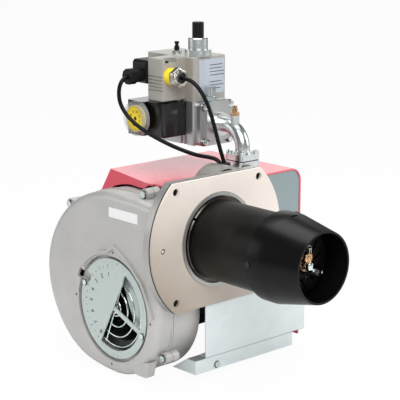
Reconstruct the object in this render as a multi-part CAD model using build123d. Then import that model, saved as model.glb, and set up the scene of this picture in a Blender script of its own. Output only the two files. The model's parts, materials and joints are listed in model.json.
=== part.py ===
from build123d import *
from math import atan, cos, degrees, radians, sin, tan
import os

# Industrial gas burner: blast tube and flame head, fan casing with air damper, motor under a
# red hood, and a gas train with valve, pressure switch and elbow.
#
# Frame: the origin is the centre of the gasket's front face, on the axis of the blast tube.
# The tube points to -Y, the motor side is +X, the air intake looks to -X, and up is +Z.
# All lengths are in millimetres and all angles in degrees.

# ------------------------------------------------------------------ clearances and stock
RUN_GAP = 0.3           # between curved faces of neighbouring pieces
PIN_GAP = 0.05          # radial play of a turning pin in its bore
HOLE_GAP = 0.2          # radial play of a screw in its hole
BEYOND = 400.0          # further out than any piece, for open-ended cuts
CAST_WALL = 4.0         # wall of the aluminium castings
SHEET = 1.5             # galvanised sheet

# ------------------------------------------------------------------ blast tube and flame head
TUBE_OD = 114.0
TUBE_WALL = 3.0
TUBE_REACH = 130.0      # from the gasket's front face to the tube's open end
HEAD_STEP = 6.0         # head proud of the tube
HEAD_WALL = 3.0
HEAD_LAP = 12.0         # length of the head's collar on the tube
HEAD_CHAMFER = 3.0
HEAD_STRAIGHT = 22.0    # cylindrical stretch of the head
HEAD_CONE = 63.5        # length of the head's cone
MOUTH_OD = 100.0
HEAD_SCREWS = 3
HEAD_SCREW_R = 2.5

DISC_SETBACK = 40.0     # flame disc behind the mouth
DISC_OD = 92.0
DISC_T = 2.0
DISC_SLOTS = 12
LANCE_OD = 18.0
LANCE_WALL = 2.0
NOZZLE_OD = 30.0
NOZZLE_LENGTH = 16.0
ELECTRODE_X = 22.0
ELECTRODE_Z = -17.0
CERAMIC_OD = 8.0
CERAMIC_LENGTH = 52.0
WIRE_OD = 2.0

# ------------------------------------------------------------------ flange
GASKET_T = 5.0
FLANGE_OD = 251.0
GASKET_LIP = 1.0        # rim of the flange proud of the gasket's
FLANGE_T = 12.0
FLANGE_TOP = 92.0
FLANGE_BOTTOM = -95.0
BOLT_EDGE = 13.07       # centres of the four boiler bolts in from the rim
BOLT_HOLE_R = 5.5
COVER_SCREW_EDGE = 22.5 # the two screws beside the tube that hold the gasket, in from the rim
COVER_SCREW_R = 4.0
BOSS_W = 5.0            # width of the raised ring of the flange round the tube
BOSS_PROUD = 1.5
CLAMP_W = 4.5           # width of the clamp ring on the tube
CLAMP_AIR = 2.0         # round the clamp ring, to the raised ring
CLAMP_PROUD = 4.0
CLAMP_T = 7.0

# ------------------------------------------------------------------ neck, dome and gas pad
NECK_RIGHT = 106.0
NECK_DEPTH = 78.0
NECK_TOP = 68.0
NECK_BOTTOM = -66.0
NECK_STEP_Y = 45.0      # behind this the neck's floor rises to clear the motor
NECK_STEP_Z = -40.0
NECK_STEP_RUN = 14.0
NECK_ROUND = 8.0
DOME_X = 32.0
DOME_Z = 58.0
DOME_R = 40.0
DOME_DEPTH = 33.0

# ------------------------------------------------------------------ fan casing
FAN_Y = 117.0
FAN_Z = -110.0
COVER_LEFT = -101.0
SEAM_X = -70.0
CASING_RIGHT = -17.0
SCROLL_LOW_R = 99.5
SCROLL_HIGH_R = 172.0
SCROLL_TOP_ANGLE = 135.0
SCROLL_GROWTH = 0.95
SCROLL_TOP_FALL = 6.0   # fall of the casing's top towards the flange
SCROLL_CORNER = 14.0
SCROLL_STEP = 30
COVER_ROUND = 12.0
SEAM_LIP = 1.6
SEAM_LIP_T = 3.0
LUG_R = 8.0
LUG_T = 12.0
LUG_ANGLES = (-58.0, 138.0, 197.0)
LUG_OUT = 7.0           # lug centre outside the scroll
CASING_SCREW_R = 3.0
CASING_HEAD_R = 5.2
FOOT_FRONT = 42.0
FOOT_REAR = 66.0
FOOT_T = 14.0
BASE_Z = -197.0         # underside of the base bracket and of the foot

# ------------------------------------------------------------------ air intake
WELL_R = 79.5
WELL_DEPTH = 7.8
INLET_R = 64.0
DAMPER_R = 74.5
DAMPER_T = 1.5
WINDOW_ANGLE = 118.0    # direction of the window's straight edge, from +Y towards +Z
WINDOW_R = 63.0
WINDOW_TAB = 7.0
BAR_ANGLE = 22.0
BAR_W = 7.0
BAR_T = 1.5
BAR_LIFT = 0.6          # between the turning bar and the guard's wires
CLAMP_SCREW_AT = 70.0
CLAMP_SCREW_HEAD_R = 4.0
PIVOT_R = 3.0
GUARD_WIRE = 2.5
GUARD_RINGS = (12.0, 28.0, 43.0, 58.0)
GUARD_REACH = 68.0
GUARD_HUB_R = 8.0
BAFFLE_OFFSET = 26.0
BAFFLE_ANGLE = 156.0
BAFFLE_R = 70.0
FACE_HOLE_AT = 85.0
FACE_HOLE_R = 2.0
RIDGE_W = 4.0
RIDGE_H = 3.5

# ------------------------------------------------------------------ fan and motor
WHEEL_OD = 134.0
WHEEL_EYE = 108.0
WHEEL_BLADES = 32
BLADE_T = 1.2
WHEEL_FRONT = -82.0
WHEEL_BACK = -25.0
PLATE_T = 1.6
HUB_OD = 26.0
HUB_LENGTH = 22.0
CONE_THROAT_R = 51.0
CONE_FLANGE_R = 77.0
CONE_T = 1.2
SHAFT_OD = 14.0
SHAFT_GAP = 2.0
MOTOR_OD = 112.0
MOTOR_LENGTH = 96.0
MOTOR_FLANGE_OD = 128.0
MOTOR_FLANGE_T = 6.0
MOTOR_CAP = 20.0
MOTOR_FINS = 20
MOTOR_FIN_H = 4.0
MOTOR_BOLT_PITCH_R = 58.0

# ------------------------------------------------------------------ sheet metal
PANEL_LEFT = -19.0
PANEL_RIGHT = 186.0
PANEL_BOTTOM = -176.0
PANEL_FOLD = 16.0
SHELF_LEFT = 107.0
BAR_LEFT = -39.0
BAR_RIGHT = 160.0
BAR_DEPTH = 18.0
GUSSET_DEPTH = 50.0
HOOD_WALL = 2.5
HOOD_AIR = 2.0          # between the hood and the fan casing
HOOD_FRONT = 18.0
HOOD_TOP = 75.0
HOOD_LEFT = -56.0
HOOD_RIGHT = 187.0
HOOD_TOP_REAR = 202.0   # where the top turns down to the slanted rear wall
HOOD_REAR = 288.0
HOOD_BOTTOM = -188.0
HOOD_ROUND = 20.0
CREASE_FRONT = (-60.0, 75.0)    # X and Y of the left crease at its front
CREASE_REAR = (-33.0, 198.0)
CREASE_LEAN = 20.0      # of the left facet, from upright

CONTROL_AIR = 6.0       # between the neck and the burner control
CONTROL_W = 64.0
CONTROL_D = 60.0
CONTROL_H = 100.0
CONTROL_BOTTOM = -60.0
CONTROL_ROUND = 4.0
SPARK_LEFT = -8.0       # ignition transformer behind the neck
SPARK_W = 78.0
SPARK_D = 52.0
SPARK_H = 62.0
SPARK_ROUND = 5.0
SPARK_POST_R = 7.0
SPARK_POST_L = 14.0
SPARK_POST_PITCH = 34.0

# ------------------------------------------------------------------ gas train
PIPE_X = 85.0
PIPE_Y = 39.5
PAD_W = 38.0
PAD_D = 36.0
PAD_TOP = 88.0
COUNTER_T = 9.0
SEAL_T = 1.5
PIPE_FLANGE_T = 9.0
PIPE_OD = 21.5
PIPE_BORE = 15.0
ELBOW_R = 31.0
OUTLET_Z = 144.0
OUTLET_X = 87.5         # middle of the outlet flange
OUTLET_W = 66.0
OUTLET_T = 10.0
OUTLET_PITCH_X = 51.0
OUTLET_PITCH_Z = 53.0
SPIGOT_LEFT = 61.0      # block in front of the outlet flange that takes the elbow
SPIGOT_RIGHT = 106.0
SPIGOT_TOP = 178.0
SPIGOT_BOTTOM = 119.0
SPIGOT_T = 8.0
HUB_R = 17.0
OUTLET_HEAD_R = 5.0
HUB_T = 8.0
BOSS_X = 83.0           # the pressure nipple's boss on the bend
BOSS_Y = 54.0
BOSS_R = 6.5
BOSS_TOP = 161.0
NIPPLE_TOP = 176.0
PIPE_BOLT_AT = 13.5
PIPE_BOLT_R = 2.5

BLEED_X = 76.0          # fitting on the ledge of the outlet flange
BLEED_SEAT = 178.0

VALVE_LEFT = 50.0
VALVE_RIGHT = 115.0
VALVE_FRONT = 108.0
VALVE_REAR = 212.0
VALVE_BOTTOM = 112.0
VALVE_SPLIT = 178.0
VALVE_TOP = 243.0
INLET_Z = 147.0
INLET_BORE_R = 12.1
INLET_BLOCK_T = 20.0

TERMINAL_LEFT = 6.0
TERMINAL_FRONT = 126.0
TERMINAL_REAR = 160.0
TERMINAL_BOTTOM = 181.0
TERMINAL_GROOVES = 5
GLAND_X = 20.0
GLAND_Z = 217.0
GLAND_SLEEVE_R = 12.5
GLAND_SLEEVE_L = 13.0
GLAND_HEX = 24.0
GLAND_NUT_L = 14.0

PLUG_LEFT = 3.0
PLUG_DEPTH = 30.0
PLUG_BOTTOM = 203.0
PLUG_TOP = 238.0
PLUG_GLAND_L = 23.0
PLUG_GLAND_R = 12.0
PLUG_Z = 215.0

SWITCH_FRONT = 124.5
SWITCH_MID = 162.0
SWITCH_BASE_L = 37.0    # length of the dial's housing, behind the cover
SWITCH_BOTTOM = 126.0
SWITCH_TOP = 177.0
SWITCH_LEFT = 6.0
SWITCH_FACE = -2.0
DIAL_SETBACK = 10.0     # dial's centre behind the front of its housing
DIAL_Z = 152.0
COVER_RING_R = 26.0
COVER_RING_H = 9.0
DIAL_R = 20.0
DIAL_T = 4.0

COLUMN_X = 72.0
COLUMN_Y = 122.0
COLUMN_HEX = 37.0
COLUMN_HEX_H = 10.0
COLUMN_R = 14.5
COLUMN_H = 17.0
CAP_R = 8.6
CAP_H = 22.7
NIPPLE_X = 62.0
NIPPLE_Y = 158.0

CABLE_OD = 6.0
GROMMET_Y = 40.0
CABLE_1_X = 44.0
CABLE_2_X = 53.0
GROMMET_TOP = 97.0

# ------------------------------------------------------------------ worked-out places
FLANGE_BACK = GASKET_T + FLANGE_T
GASKET_OD = FLANGE_OD - 2 * GASKET_LIP
HEAD_OD = TUBE_OD + 2 * HEAD_STEP
CLAMP_OD = TUBE_OD + 2 * CLAMP_W
BOSS_ID = CLAMP_OD + 2 * CLAMP_AIR
BOSS_OD = BOSS_ID + 2 * BOSS_W
BOLT_PITCH = (FLANGE_OD - 2 * BOLT_EDGE) * cos(radians(45))    # side of the bolts' square
COVER_SCREW_X = FLANGE_OD / 2 - COVER_SCREW_EDGE
HEAD_BACK_Y = -(TUBE_REACH - HEAD_LAP)
CONE_Y = HEAD_BACK_Y - HEAD_STRAIGHT
MOUTH_Y = CONE_Y - HEAD_CONE
DISC_Y = MOUTH_Y + DISC_SETBACK
NECK_BACK = FLANGE_BACK + NECK_DEPTH
WELL_FLOOR = COVER_LEFT + WELL_DEPTH
GUARD_X = WELL_FLOOR - GUARD_WIRE / 2
BAR_X = GUARD_X - GUARD_WIRE / 2 - BAR_LIFT - BAR_T
DAMPER_X = BAR_X - DAMPER_T
BAFFLE_X = WELL_FLOOR + CAST_WALL
CONE_X = BAFFLE_X + SHEET
MOTOR_X = CASING_RIGHT + MOTOR_FLANGE_T
PANEL_Y = GASKET_T + 0.3
PANEL_TOP = FLANGE_BOTTOM - 0.1
SHELF_Y = FLANGE_BACK + 2.0
COUNTER_TOP = PAD_TOP + COUNTER_T
FLANGE_SEAT = COUNTER_TOP + SEAL_T
OUTLET_FRONT = VALVE_FRONT - OUTLET_T
SPIGOT_FRONT = OUTLET_FRONT - SPIGOT_T
SWITCH_REAR = SWITCH_MID + SWITCH_BASE_L
DIAL_Y = SWITCH_MID + DIAL_SETBACK


# ------------------------------------------------------------------ helpers
def bar(axis, face, low, high, u, v):
    """Extrude a flat face along an axis from low to high, centred at (u, v) across it."""
    if axis == "x":
        plane = Plane((low, u, v), x_dir=(0, 1, 0), z_dir=(1, 0, 0))
    elif axis == "y":
        plane = Plane((u, high, v), x_dir=(1, 0, 0), z_dir=(0, -1, 0))
    else:
        plane = Plane((u, v, low), x_dir=(1, 0, 0), z_dir=(0, 0, 1))
    return extrude(plane * face, high - low)


def rod(axis, radius, low, high, u, v):
    return bar(axis, Circle(radius), low, high, u, v)


def block(x0, x1, y0, y1, z0, z1):
    return Pos((x0 + x1) / 2, (y0 + y1) / 2, (z0 + z1) / 2) * Box(x1 - x0, y1 - y0, z1 - z0)


def hexagon(across):
    return RegularPolygon(across / 2, 6, major_radius=False)


def turned(points, axis=Axis.Y):
    """Turn a closed outline of (radius, height) about Y, or of (height, radius) about X."""
    return revolve(make_face(Polyline(*points, close=True)), axis)


def on_fan_axis(shape):
    return Pos(0, FAN_Y, FAN_Z) * shape


def polar(radius, angle):
    return (radius * cos(radians(angle)), radius * sin(radians(angle)))


def group(shapes):
    return Compound(children=list(shapes))


def screw(axis, seat, sign, u, v, head_r, head_h, shank_r, shank_l):
    """A pan-head screw: the head stands on the seat, away from it in the sign's direction."""
    tip = seat - sign * shank_l
    top = seat + sign * head_h
    head = rod(axis, head_r, min(seat, top), max(seat, top), u, v)
    return head + rod(axis, shank_r, min(seat, tip), max(seat, tip), u, v)


# ------------------------------------------------------------------ blast tube and flame head
def blast_tube():
    outer = TUBE_OD / 2
    return turned([(outer - TUBE_WALL, FLANGE_BACK), (outer, FLANGE_BACK),
                   (outer, -TUBE_REACH), (outer - TUBE_WALL, -TUBE_REACH)])


def head_sleeve():
    """Flame head: a collar that laps the tube, a straight stretch and a cone to the mouth."""
    outer = HEAD_OD / 2
    collar = TUBE_OD / 2 + PIN_GAP
    mouth = MOUTH_OD / 2
    sleeve = turned([(collar, HEAD_BACK_Y), (outer - HEAD_CHAMFER, HEAD_BACK_Y),
                     (outer, HEAD_BACK_Y - HEAD_CHAMFER), (outer, CONE_Y),
                     (mouth, MOUTH_Y), (mouth - HEAD_WALL, MOUTH_Y),
                     (outer - HEAD_WALL, CONE_Y), (outer - HEAD_WALL, -TUBE_REACH - 3),
                     (collar, -TUBE_REACH)])
    slot = bar("z", SlotOverall(12, 4), outer - 8, outer + 2, 0, CONE_Y - 9)
    for at in head_screw_angles():
        sleeve -= head_screw_place(at) * rod("z", HEAD_SCREW_R + HOLE_GAP, 0, outer + 1, 0, 0)
    return sleeve - slot


def head_screw_angles():
    return [180 + 360 / HEAD_SCREWS * step for step in range(HEAD_SCREWS)]


def head_screw_place(angle):
    """Turn a piece on +Z to the angle from +X about the tube's axis, at the collar."""
    return Pos(0, HEAD_BACK_Y - HEAD_LAP * 0.55, 0) * Rot(0, 90 - angle, 0)


def sleeve_screws():
    seat = HEAD_OD / 2
    shank = screw("z", seat, 1, 0, 0, 4.2, 1.6, HEAD_SCREW_R, HEAD_OD / 2 - TUBE_OD / 2 - RUN_GAP)
    return group(head_screw_place(at) * shank for at in head_screw_angles())


def flame_disc():
    """Swirl disc with slanted slots round the gas nozzle."""
    disc = rod("y", DISC_OD / 2, DISC_Y, DISC_Y + DISC_T, 0, 0)
    disc -= rod("y", NOZZLE_OD / 2 + 0.1, DISC_Y - 1, DISC_Y + DISC_T + 1, 0, 0)
    slot = Rot(0, 0, 22) * SlotOverall(17, 3.2)
    for step in range(DISC_SLOTS):
        angle = 360 / DISC_SLOTS * step + 6
        cut = extrude(Plane((0, DISC_Y + DISC_T + 1, 0), x_dir=(1, 0, 0), z_dir=(0, -1, 0))
                      * Rot(0, 0, angle) * Pos(30, 0) * slot, DISC_T + 2)
        disc -= cut
    for wire_x in (ELECTRODE_X, -ELECTRODE_X):
        disc -= rod("y", CERAMIC_OD / 2 + HOLE_GAP, DISC_Y - 1, DISC_Y + DISC_T + 1,
                    wire_x, ELECTRODE_Z)
    return disc


def gas_lance():
    """Pipe from the neck's rear wall along the tube to the nozzle."""
    back = NECK_BACK - CAST_WALL
    radius = LANCE_OD / 2
    front = DISC_Y + NOZZLE_LENGTH / 2 + DISC_T
    return turned([(radius - LANCE_WALL, back), (radius, back), (radius, front),
                   (radius - LANCE_WALL, front)])


def gas_nozzle():
    """Brass nozzle in the middle of the flame disc, with a ring of gas holes."""
    radius = NOZZLE_OD / 2
    front = DISC_Y - NOZZLE_LENGTH / 2
    back = DISC_Y + NOZZLE_LENGTH / 2 + DISC_T
    nozzle = turned([(0, front), (radius - 4, front), (radius, front + 4), (radius, back),
                     (0, back)])
    for step in range(8):
        u, v = polar(radius - 6, 45 * step)
        nozzle -= rod("y", 1.5, front - 1, front + 8, u, v)
    return nozzle


def electrode_ceramics():
    return group(rod("y", CERAMIC_OD / 2, DISC_Y - 9, DISC_Y - 9 + CERAMIC_LENGTH,
                     side * ELECTRODE_X, ELECTRODE_Z) for side in (1, -1))


def electrode_wires():
    """Bare wires out of the ceramics; the ignition wire bends towards the nozzle."""
    start = DISC_Y - 9
    wires = []
    for side, tip in ((1, 14.0), (-1, 22.0)):
        first = (side * ELECTRODE_X, start, ELECTRODE_Z)
        bend = (side * ELECTRODE_X, start - 10, ELECTRODE_Z)
        end = (side * ELECTRODE_X - side * (24 - tip), start - 17, ELECTRODE_Z + 6)
        path = FilletPolyline(first, bend, end, radius=4)
        wires.append(sweep(Plane(first, z_dir=(0, -1, 0)) * Circle(WIRE_OD / 2), path=path))
    return group(wires)


def electrode_clamp():
    """Brass strap that holds both ceramics under the lance, behind the flame disc."""
    y0 = DISC_Y + 14
    y1 = y0 + 6
    strap = block(-ELECTRODE_X - 7, ELECTRODE_X + 7, y0, y1, ELECTRODE_Z - 6, ELECTRODE_Z + 6)
    strap = fillet(strap.edges().filter_by(Axis.Y), 5)
    strap += block(-6, 6, y0, y1, ELECTRODE_Z, -LANCE_OD / 2 - 0.05)
    for side in (1, -1):
        strap -= rod("y", CERAMIC_OD / 2 + 0.1, y0 - 1, y1 + 1, side * ELECTRODE_X, ELECTRODE_Z)
    return strap


# ------------------------------------------------------------------ flange and neck
def flange_outline(diameter, hole):
    """Disc cut flat at its top and bottom, with the bolt holes and the middle hole."""
    middle = (FLANGE_TOP + FLANGE_BOTTOM) / 2
    face = Circle(diameter / 2) & (Pos(0, middle) * Rectangle(diameter, FLANGE_TOP - FLANGE_BOTTOM))
    for u in (-1, 1):
        for v in (-1, 1):
            face -= Pos(u * BOLT_PITCH / 2, v * BOLT_PITCH / 2) * Circle(BOLT_HOLE_R)
        face -= Pos(u * COVER_SCREW_X, 0) * Circle(COVER_SCREW_R)
    return face - Circle(hole / 2)


def flange_gasket():
    plate = bar("y", flange_outline(GASKET_OD, BOSS_OD + 2 * RUN_GAP), 0, GASKET_T, 0, 0)
    return plate


def gasket_screws():
    """Sunk screws beside the tube that keep the gasket on the flange."""
    screws = []
    for side in (-1, 1):
        body = rod("y", COVER_SCREW_R - HOLE_GAP, 1.2, FLANGE_BACK, side * COVER_SCREW_X, 0)
        body -= bar("y", hexagon(4), 0, 3.5, side * COVER_SCREW_X, 0)
        screws.append(body)
    return group(screws)


def neck_form(inset):
    """Solid form of the neck, drawn in by inset on every side but the flange's."""
    step_z = NECK_STEP_Z + inset
    side = Polyline((FLANGE_BACK, NECK_BOTTOM + inset), (NECK_STEP_Y, NECK_BOTTOM + inset),
                    (NECK_STEP_Y + NECK_STEP_RUN, step_z), (NECK_BACK - inset, step_z),
                    (NECK_BACK - inset, NECK_TOP - inset), (FLANGE_BACK, NECK_TOP - inset),
                    close=True)
    left = CASING_RIGHT - min(inset, 1)
    return extrude(Plane.YZ.offset(left) * make_face(side), NECK_RIGHT - inset - left)


def burner_flange():
    """Cast flange with the neck that leads the air from the fan casing to the tube."""
    tube_hole = TUBE_OD / 2 + PIN_GAP
    plate = bar("y", flange_outline(FLANGE_OD, 2 * tube_hole), GASKET_T, FLANGE_BACK, 0, 0)
    ring = Circle(BOSS_OD / 2) - Circle(BOSS_ID / 2)
    plate += bar("y", ring, -BOSS_PROUD, GASKET_T, 0, 0)
    neck = neck_form(0)
    rim = neck.edges().group_by(Axis.X)[-1]
    neck = fillet([edge for edge in rim if edge.center().Y > FLANGE_BACK + 1], NECK_ROUND)
    dome = rod("y", DOME_R, FLANGE_BACK, FLANGE_BACK + DOME_DEPTH, DOME_X, DOME_Z)
    dome &= block(CASING_RIGHT, NECK_RIGHT, 0, NECK_BACK, NECK_TOP - CAST_WALL, BEYOND)
    dome -= rod("y", DOME_R - CAST_WALL, FLANGE_BACK, FLANGE_BACK + DOME_DEPTH - CAST_WALL,
                DOME_X, DOME_Z)
    pad = block(PIPE_X - PAD_W / 2, PIPE_X + PAD_W / 2, FLANGE_BACK + 13, PIPE_Y + PAD_D / 2,
                NECK_TOP - CAST_WALL, PAD_TOP)
    pad = fillet(pad.edges().filter_by(Axis.Z), 4)
    casting = plate + ((neck + pad + dome) - neck_form(CAST_WALL))
    casting -= rod("z", PIPE_BORE / 2, NECK_TOP - 10, PAD_TOP + 1, PIPE_X, PIPE_Y)
    casting -= grommet_hole()
    casting += rod("y", LANCE_OD / 2 - LANCE_WALL - PIN_GAP, NECK_BACK - CAST_WALL - 8,
                   NECK_BACK, 0, 0)
    return casting


def grommet_face(extra=0.0):
    middle = (CABLE_1_X + CABLE_2_X) / 2
    width = CABLE_2_X - CABLE_1_X + CABLE_OD + 6 + 2 * extra
    return Pos(middle, GROMMET_Y) * SlotOverall(width, CABLE_OD + 6 + 2 * extra)


def grommet_hole():
    return extrude(Plane.XY.offset(DOME_Z) * grommet_face(0.1), DOME_R)


def cable_grommet():
    """Rubber grommet in the dome's roof that both cables go into."""
    body = extrude(Plane.XY.offset(GROMMET_TOP - 14) * grommet_face(), 14)
    return fillet(body.edges().group_by(Axis.Z)[-1], 1.0)


def tube_clamp_ring():
    inner = TUBE_OD / 2 + PIN_GAP
    ring = turned([(inner, -CLAMP_PROUD), (CLAMP_OD / 2 - 1.5, -CLAMP_PROUD),
                   (CLAMP_OD / 2, 1.5 - CLAMP_PROUD), (CLAMP_OD / 2, CLAMP_T - CLAMP_PROUD),
                   (inner, CLAMP_T - CLAMP_PROUD)])
    return ring - Rot(0, 38, 0) * block(-CLAMP_OD, -40, -20, 20, -2, 2)


# ------------------------------------------------------------------ fan casing
def scroll_radius(angle):
    """Radius of the scroll at an angle from straight down, counted towards the rear."""
    if angle < 0:
        front = FAN_Y - FLANGE_BACK
        return SCROLL_LOW_R + (front - SCROLL_LOW_R) * sin(radians(angle)) ** 2
    share = min(angle / SCROLL_TOP_ANGLE, 1.0) ** SCROLL_GROWTH
    return SCROLL_LOW_R + (SCROLL_HIGH_R - SCROLL_LOW_R) * sin(radians(90 * share)) ** 2


def scroll_point(angle, inset=0.0):
    reach = scroll_radius(angle) - inset
    return (FAN_Y + reach * sin(radians(angle)), FAN_Z - reach * cos(radians(angle)))


def scroll_face(inset=0.0):
    """Side outline of the casing, drawn in Y and Z."""
    points = [scroll_point(step, inset) for step in range(-90, 181, SCROLL_STEP)]
    corner = (FLANGE_BACK + inset, points[-1][1] - SCROLL_TOP_FALL)
    outline = Line(corner, points[0])
    tangent = (0, -1)
    for start, end in zip(points, points[1:] + [corner]):
        arc = TangentArc(start, end, tangent=tangent)
        tangent = arc % 1
        outline += arc
    face = make_face(outline)
    tip = face.vertices().sort_by_distance(corner)[0]
    return fillet(tip, SCROLL_CORNER - inset)


def scroll_slab(x0, x1, inset=0.0):
    return extrude(Plane.YZ.offset(x0) * scroll_face(inset), x1 - x0)


def lug_places():
    places = [scroll_point(angle, -LUG_OUT) for angle in LUG_ANGLES[:2]]
    angle = LUG_ANGLES[2]
    reach = SCROLL_HIGH_R + LUG_OUT
    top = (FAN_Y + reach * sin(radians(angle)), FAN_Z + SCROLL_HIGH_R + LUG_OUT - 2.5)
    return places + [top]


def casing_lugs(x0, x1):
    lugs = []
    for y, z in lug_places():
        lugs.append(rod("x", LUG_R, x0, x1, y, z))
    return lugs


def intake_ridge():
    """Raised ridge round the well, with a point above it, that runs down to the flange."""
    reach = WELL_R + 5
    points = [polar(reach, angle) for angle in (38, 62, 84)]
    tip = polar(reach + 11, 94)
    front = polar(reach + 2, 145)
    end = (FLANGE_BACK + 8 - FAN_Y, 6)
    line = (ThreePointArc(*points) + Line(points[-1], tip)
            + ThreePointArc(tip, polar(reach + 1, 120), front) + Line(front, end))
    return Plane.YZ.offset(COVER_LEFT - RIDGE_H) * (Pos(FAN_Y, FAN_Z) * trace(line, RIDGE_W))


def housing_cover():
    """Left half of the fan casing, with the round well of the air intake."""
    cover = scroll_slab(COVER_LEFT, SEAM_X)
    cover = fillet(cover.faces().sort_by(Axis.X)[0].edges(), COVER_ROUND)
    cover += scroll_slab(SEAM_X - SEAM_LIP_T, SEAM_X, -SEAM_LIP) - flange_keepout()
    cover -= scroll_slab(COVER_LEFT + CAST_WALL, SEAM_X + 1, CAST_WALL)
    cover += rod("x", WELL_R + CAST_WALL, COVER_LEFT + 1, BAFFLE_X, FAN_Y, FAN_Z) & \
        scroll_slab(COVER_LEFT, BAFFLE_X, CAST_WALL - 0.5)
    cover -= rod("x", WELL_R, COVER_LEFT - 10, WELL_FLOOR, FAN_Y, FAN_Z)
    cover -= rod("x", INLET_R, COVER_LEFT, 0, FAN_Y, FAN_Z)
    cover += extrude(intake_ridge(), RIDGE_H + 1)
    cover += foot() - scroll_slab(COVER_LEFT + CAST_WALL, SEAM_X + 1, CAST_WALL)
    for lug in casing_lugs(SEAM_X - LUG_T, SEAM_X):
        cover += lug - scroll_slab(COVER_LEFT + CAST_WALL, SEAM_X + 1, CAST_WALL)
    for y, z in lug_places():
        cover -= rod("x", CASING_SCREW_R + HOLE_GAP, COVER_LEFT, SEAM_X + 1, y, z)
    for angle in (0, 90, 180, 270):
        y, z = polar(FACE_HOLE_AT, angle + 2)
        cover -= rod("x", FACE_HOLE_R, COVER_LEFT - 10, COVER_LEFT + CAST_WALL + 3,
                     FAN_Y + y, FAN_Z + z)
    notch = Rot(0, 0, 28) * Pos(WELL_R, 0) * Rectangle(16, 16)
    cover -= bar("x", notch, COVER_LEFT - 1, WELL_FLOOR, FAN_Y, FAN_Z)
    return cover


def flange_keepout():
    """Space in front of the casing that belongs to the flange."""
    return block(-BEYOND, BEYOND, -BEYOND, FLANGE_BACK, -BEYOND, BEYOND)


def foot():
    """Cast foot under the cover's front."""
    leg = Polyline((FOOT_FRONT - 6, FAN_Z - 62), (FOOT_FRONT, BASE_Z), (FOOT_REAR, BASE_Z),
                   (FOOT_REAR + 12, FAN_Z - 74), close=True)
    face = fillet(make_face(leg).vertices().group_by(Axis.Y)[0], 4)
    return extrude(Plane.YZ.offset(COVER_LEFT + 1) * face, FOOT_T)


def fan_housing():
    """Right half of the fan casing; its right wall carries the motor."""
    casing = scroll_slab(SEAM_X, CASING_RIGHT)
    edges = casing.faces().sort_by(Axis.X)[-1].edges()
    casing = fillet([edge for edge in edges if edge.center().Y > FLANGE_BACK + 1], 6)
    casing += scroll_slab(SEAM_X, SEAM_X + SEAM_LIP_T, -SEAM_LIP) - flange_keepout()
    inside = scroll_slab(SEAM_X - 1, CASING_RIGHT - CAST_WALL, CAST_WALL)
    casing -= inside
    for lug in casing_lugs(SEAM_X, SEAM_X + LUG_T):
        casing += lug - inside
    for y, z in lug_places():
        casing -= rod("x", CASING_SCREW_R + HOLE_GAP, SEAM_X - 1, SEAM_X + LUG_T - 2, y, z)
    casing -= rod("y", TUBE_OD / 2 - TUBE_WALL, 0, FLANGE_BACK + CAST_WALL + 2, 0, 0)
    casing -= block(CASING_RIGHT - CAST_WALL - 2, 0, FLANGE_BACK + CAST_WALL,
                    NECK_BACK - CAST_WALL - NECK_ROUND, NECK_STEP_Z + NECK_ROUND, 50)
    casing -= rod("x", SHAFT_OD / 2 + SHAFT_GAP, CASING_RIGHT - 10, CASING_RIGHT + 1, FAN_Y, FAN_Z)
    for u, v in motor_bolt_places():
        casing -= rod("x", 2.5 + HOLE_GAP, CASING_RIGHT - 10, CASING_RIGHT + 1, u, v)
    return casing


def housing_screws():
    head_seat = SEAM_X - LUG_T
    return group(screw("x", head_seat, -1, y, z, CASING_HEAD_R, 4, CASING_SCREW_R, LUG_T * 1.7)
                 for y, z in lug_places())


# ------------------------------------------------------------------ air intake
def in_intake(face, x0, x1):
    """Extrude a face drawn round the fan axis, in Y and Z, from x0 to x1."""
    return bar("x", face, x0, x1, FAN_Y, FAN_Z)


def clamp_screw_places():
    return [polar(CLAMP_SCREW_AT, BAR_ANGLE), polar(CLAMP_SCREW_AT, BAR_ANGLE + 180)]


def air_damper():
    """Turning disc with a half-round window; its edge carries two clamp screws."""
    half = Rot(0, 0, WINDOW_ANGLE) * Pos(0, WINDOW_R / 2) * Rectangle(2 * WINDOW_R, WINDOW_R)
    window = Circle(WINDOW_R) & half
    tab = Rot(0, 0, WINDOW_ANGLE) * Pos(WINDOW_R - WINDOW_TAB, 6) * Rectangle(12, 16)
    face = Circle(DAMPER_R) - window - tab
    face -= Rot(0, 0, BAR_ANGLE + 10) * Pos(DAMPER_R, 0) * Rectangle(24, 15)
    for angle, radius in ((109, 1.6), (99, 2.4), (262, 2.4), (271, 1.6)):
        face -= Pos(*polar(DAMPER_R - 4, angle)) * Circle(radius / 2)
    for place in clamp_screw_places():
        face += Pos(*place) * Circle(CLAMP_SCREW_HEAD_R + 1)
        face -= Pos(*place) * Circle(1.6 + HOLE_GAP)
    return in_intake(face, DAMPER_X, DAMPER_X + DAMPER_T)


def damper_bar():
    """Flat bar behind the disc, which turns with it on the guard's hub."""
    face = Rot(0, 0, BAR_ANGLE) * SlotOverall(2 * DAMPER_R, BAR_W)
    for place in clamp_screw_places():
        face -= Pos(*place) * Circle(1.6 + HOLE_GAP)
    strap = in_intake(face, BAR_X, BAR_X + BAR_T)
    return strap + rod("x", PIVOT_R, BAR_X, WELL_FLOOR + 1, FAN_Y, FAN_Z)


def damper_screws():
    return group(screw("x", DAMPER_X, -1, FAN_Y + u, FAN_Z + v, CLAMP_SCREW_HEAD_R, 2.2,
                       1.6, DAMPER_T + BAR_T + 0.2) for u, v in clamp_screw_places())


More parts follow.
